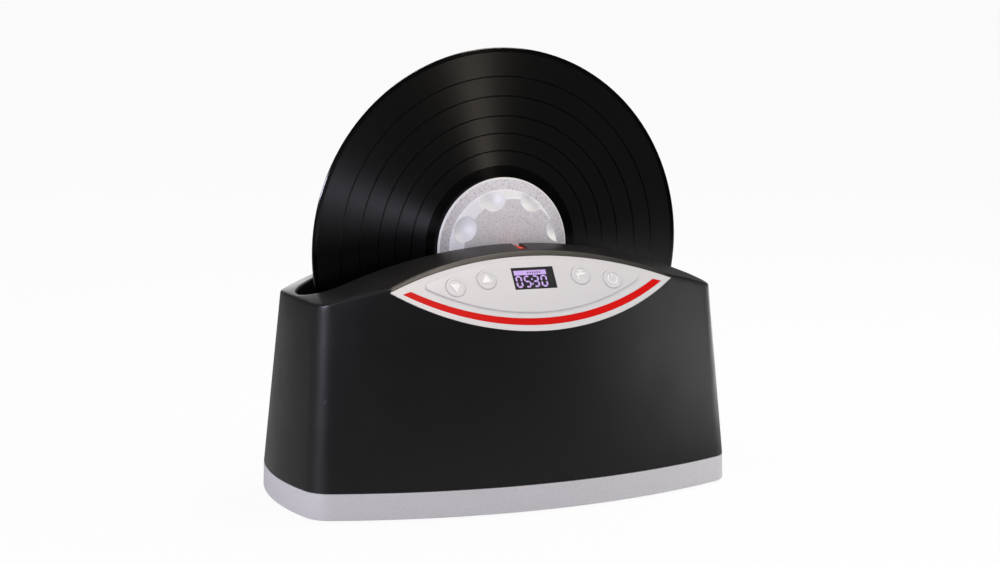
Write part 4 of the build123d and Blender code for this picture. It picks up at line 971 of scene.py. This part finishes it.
def softbox(name, place, target, size, power, colour):
    """Rectangular lamp that faces a target."""
    lamp = bpy.data.lights.new(name, "AREA")
    lamp.color = linear(colour)[:3]
    lamp.shape = "RECTANGLE"
    lamp.size, lamp.size_y = size
    lamp.energy = power
    obj = bpy.data.objects.new(name, lamp)
    bpy.context.scene.collection.objects.link(obj)
    obj.location = place
    obj.rotation_mode = "QUATERNION"
    obj.rotation_quaternion = (target - Vector(place)).to_track_quat("-Z", "Y")
    return obj


def pale_floor(stage):
    """Matt painted board: white to the camera with a faint shadow.

    In reflections it is dim in front and far behind, with a bright pool to the right.
    """
    material, tree, shader, where = new_material(
        "pale_floor",
        {"Base Color": linear(stage.floor_colour), "Roughness": 0.9, "Specular IOR Level": 0.0},
    )
    grain(tree, shader, where, size_mm=2.0, depth_mm=0.01)
    path = add_node(tree, "ShaderNodeLightPath")
    split = add_node(tree, "ShaderNodeSeparateXYZ", {0: where})
    x, y = (split, 0), (split, 1)
    nearer = span(tree, y, FLOOR_FRONT_Y, (stage.front_glow, stage.floor_glow))
    farther = span(tree, y, FLOOR_BACK_Y, (1.0, stage.floor_far_share))
    level = maths(tree, "MULTIPLY", nearer, farther)
    right = span(tree, x, POOL_LEFT_X, (0.0, stage.floor_right_glow))
    far_right = span(tree, x, POOL_RIGHT_X, (1.0, 0.0))
    ahead = span(tree, y, POOL_FRONT_Y, (0.0, 1.0))
    pool = maths(tree, "MULTIPLY", maths(tree, "MULTIPLY", right, far_right), ahead)
    glow = maths(tree, "ADD", level, pool)
    strength = mixed_value(tree, (path, "Is Camera Ray"), glow, 1.0)
    seen = maths(tree, "MULTIPLY", (path, "Is Camera Ray"), stage.floor_white)
    share = maths(tree, "MAXIMUM", seen, (path, "Is Glossy Ray"))
    white = add_node(tree, "ShaderNodeEmission", {"Color": (1, 1, 1, 1), "Strength": strength})
    mixed = add_node(tree, "ShaderNodeMixShader", {0: share, 1: (shader, 0), 2: (white, 0)})
    output = next(n for n in tree.nodes if n.type == "OUTPUT_MATERIAL")
    join(tree, (mixed, 0), output, "Surface")
    # Met by rays and never sampled as a lamp, because a lamp's sample has no kind of ray.
    material.cycles.emission_sampling = "NONE"
    return material


def studio_world(stage):
    """White to the camera, and an even light on matt faces that is weaker from the front.

    In reflections it is dark in front, as a studio is, and paler behind and overhead.
    """
    world = bpy.data.worlds.new("studio")
    world.use_nodes = True
    tree = world.node_tree
    tree.nodes.clear()
    path = add_node(tree, "ShaderNodeLightPath")
    place = add_node(tree, "ShaderNodeTexCoord")
    way = add_node(tree, "ShaderNodeSeparateXYZ", {0: (place, "Generated")})
    x, y, z = (way, 0), (way, 1), (way, 2)
    front = span(tree, y, GLOW_FRONT_Y, (stage.front_glow, stage.side_glow))
    across = span(tree, x, GLOW_ACROSS_X, (stage.back_left_glow, stage.back_right_glow))
    behind = span(tree, y, GLOW_BEHIND_Y, (0.0, 1.0))
    level = maths(tree, "ADD", front, maths(tree, "MULTIPLY", across, behind))
    glow = maths(tree, "ADD", level, span(tree, z, GLOW_HIGH_Z, (0.0, stage.high_glow)))
    diffuse = span(tree, y, LIGHT_FRONT_Y, (stage.front_light, stage.world_light))
    mirrored = maths(tree, "MAXIMUM", (path, "Is Glossy Ray"), (path, "Is Transmission Ray"))
    light = mixed_value(tree, mirrored, diffuse, glow)
    strength = mixed_value(tree, (path, "Is Camera Ray"), light, 1.0)
    sky = add_node(tree, "ShaderNodeBackground", {"Color": (1, 1, 1, 1), "Strength": strength})
    add_node(tree, "ShaderNodeOutputWorld", {"Surface": (sky, 0)})
    # Not sampled as a lamp either, for the same cause as the floor.
    world.cycles.sampling_method = "NONE"
    return world


def swept_floor(stage):
    """Floor that turns up into a backdrop behind the object."""
    half = stage.floor_width / 2
    back = half - BEND_RADIUS
    angle = np.linspace(0, math.pi / 2, BEND_STEPS)
    run = np.concatenate([[-half], back + BEND_RADIUS * np.sin(angle), [half]])
    rise = np.concatenate([[0.0], BEND_RADIUS - BEND_RADIUS * np.cos(angle), [half]])
    points = np.array([(x, y, z) for x in (-half, half) for y, z in zip(run, rise)])
    count = len(run)
    faces = [[i, count + i, count + i + 1, i + 1] for i in range(count - 1)]
    return mesh_object("floor", points, faces, pale_floor(stage))


class RC_OT_stage(bpy.types.Operator):
    """Build the floor with its swept backdrop, the lamps, the world and the camera"""

    bl_idname = "record_cleaner.stage"
    bl_label = "Stage"

    def execute(self, context):
        stage = looks().stage
        scene = context.scene
        floor = swept_floor(stage)

        softbox(*TOP_LAMP)
        for row in FILLS:
            softbox(*row).visible_glossy = False
        for row in GLINTS:
            softbox(*row).visible_diffuse = False
        scene.world = studio_world(stage)

        lens = bpy.data.cameras.new("camera")
        lens.lens = stage.lens_mm
        lens.sensor_width = SENSOR_MM
        lens.clip_end = CLIP_END
        camera = bpy.data.objects.new("camera", lens)
        scene.collection.objects.link(camera)
        camera.matrix_world = camera_matrix(stage)
        scene.camera = camera
        scene.view_settings.view_transform = "Standard"
        return {"FINISHED"}


# ---------------------------------------------------------------- add-on
OPERATORS = (
    RC_OT_casing,
    RC_OT_panel,
    RC_OT_button_marks,
    RC_OT_display,
    RC_OT_record,
    RC_OT_clamp,
    RC_OT_tank,
    RC_OT_electronics,
    RC_OT_stage,
)


class RC_PT_finish(bpy.types.Panel):
    """Sidebar panel with a button for each step"""

    bl_idname = "RC_PT_finish"
    bl_label = "Record Cleaner"
    bl_space_type = "VIEW_3D"
    bl_region_type = "UI"
    bl_category = "Record Cleaner"

    def draw(self, context):
        for operator in OPERATORS:
            self.layout.operator(operator.bl_idname)


CLASSES = (
    CasingLook, BaseLook, PanelLook, DisplayLook, RecordLook, ClampLook, StageLook, Looks,
    *OPERATORS, RC_PT_finish,
)


def register():
    for item in CLASSES:
        bpy.utils.register_class(item)
    bpy.types.Scene.record_cleaner_look = PointerProperty(type=Looks)


def unregister():
    del bpy.types.Scene.record_cleaner_look
    for item in reversed(CLASSES):
        bpy.utils.unregister_class(item)


def main():
    """Registers the add-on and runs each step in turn."""
    register()
    for operator in OPERATORS:
        group, name = operator.bl_idname.split(".")
        getattr(getattr(bpy.ops, group), name)()


if __name__ == "__main__":
    main()
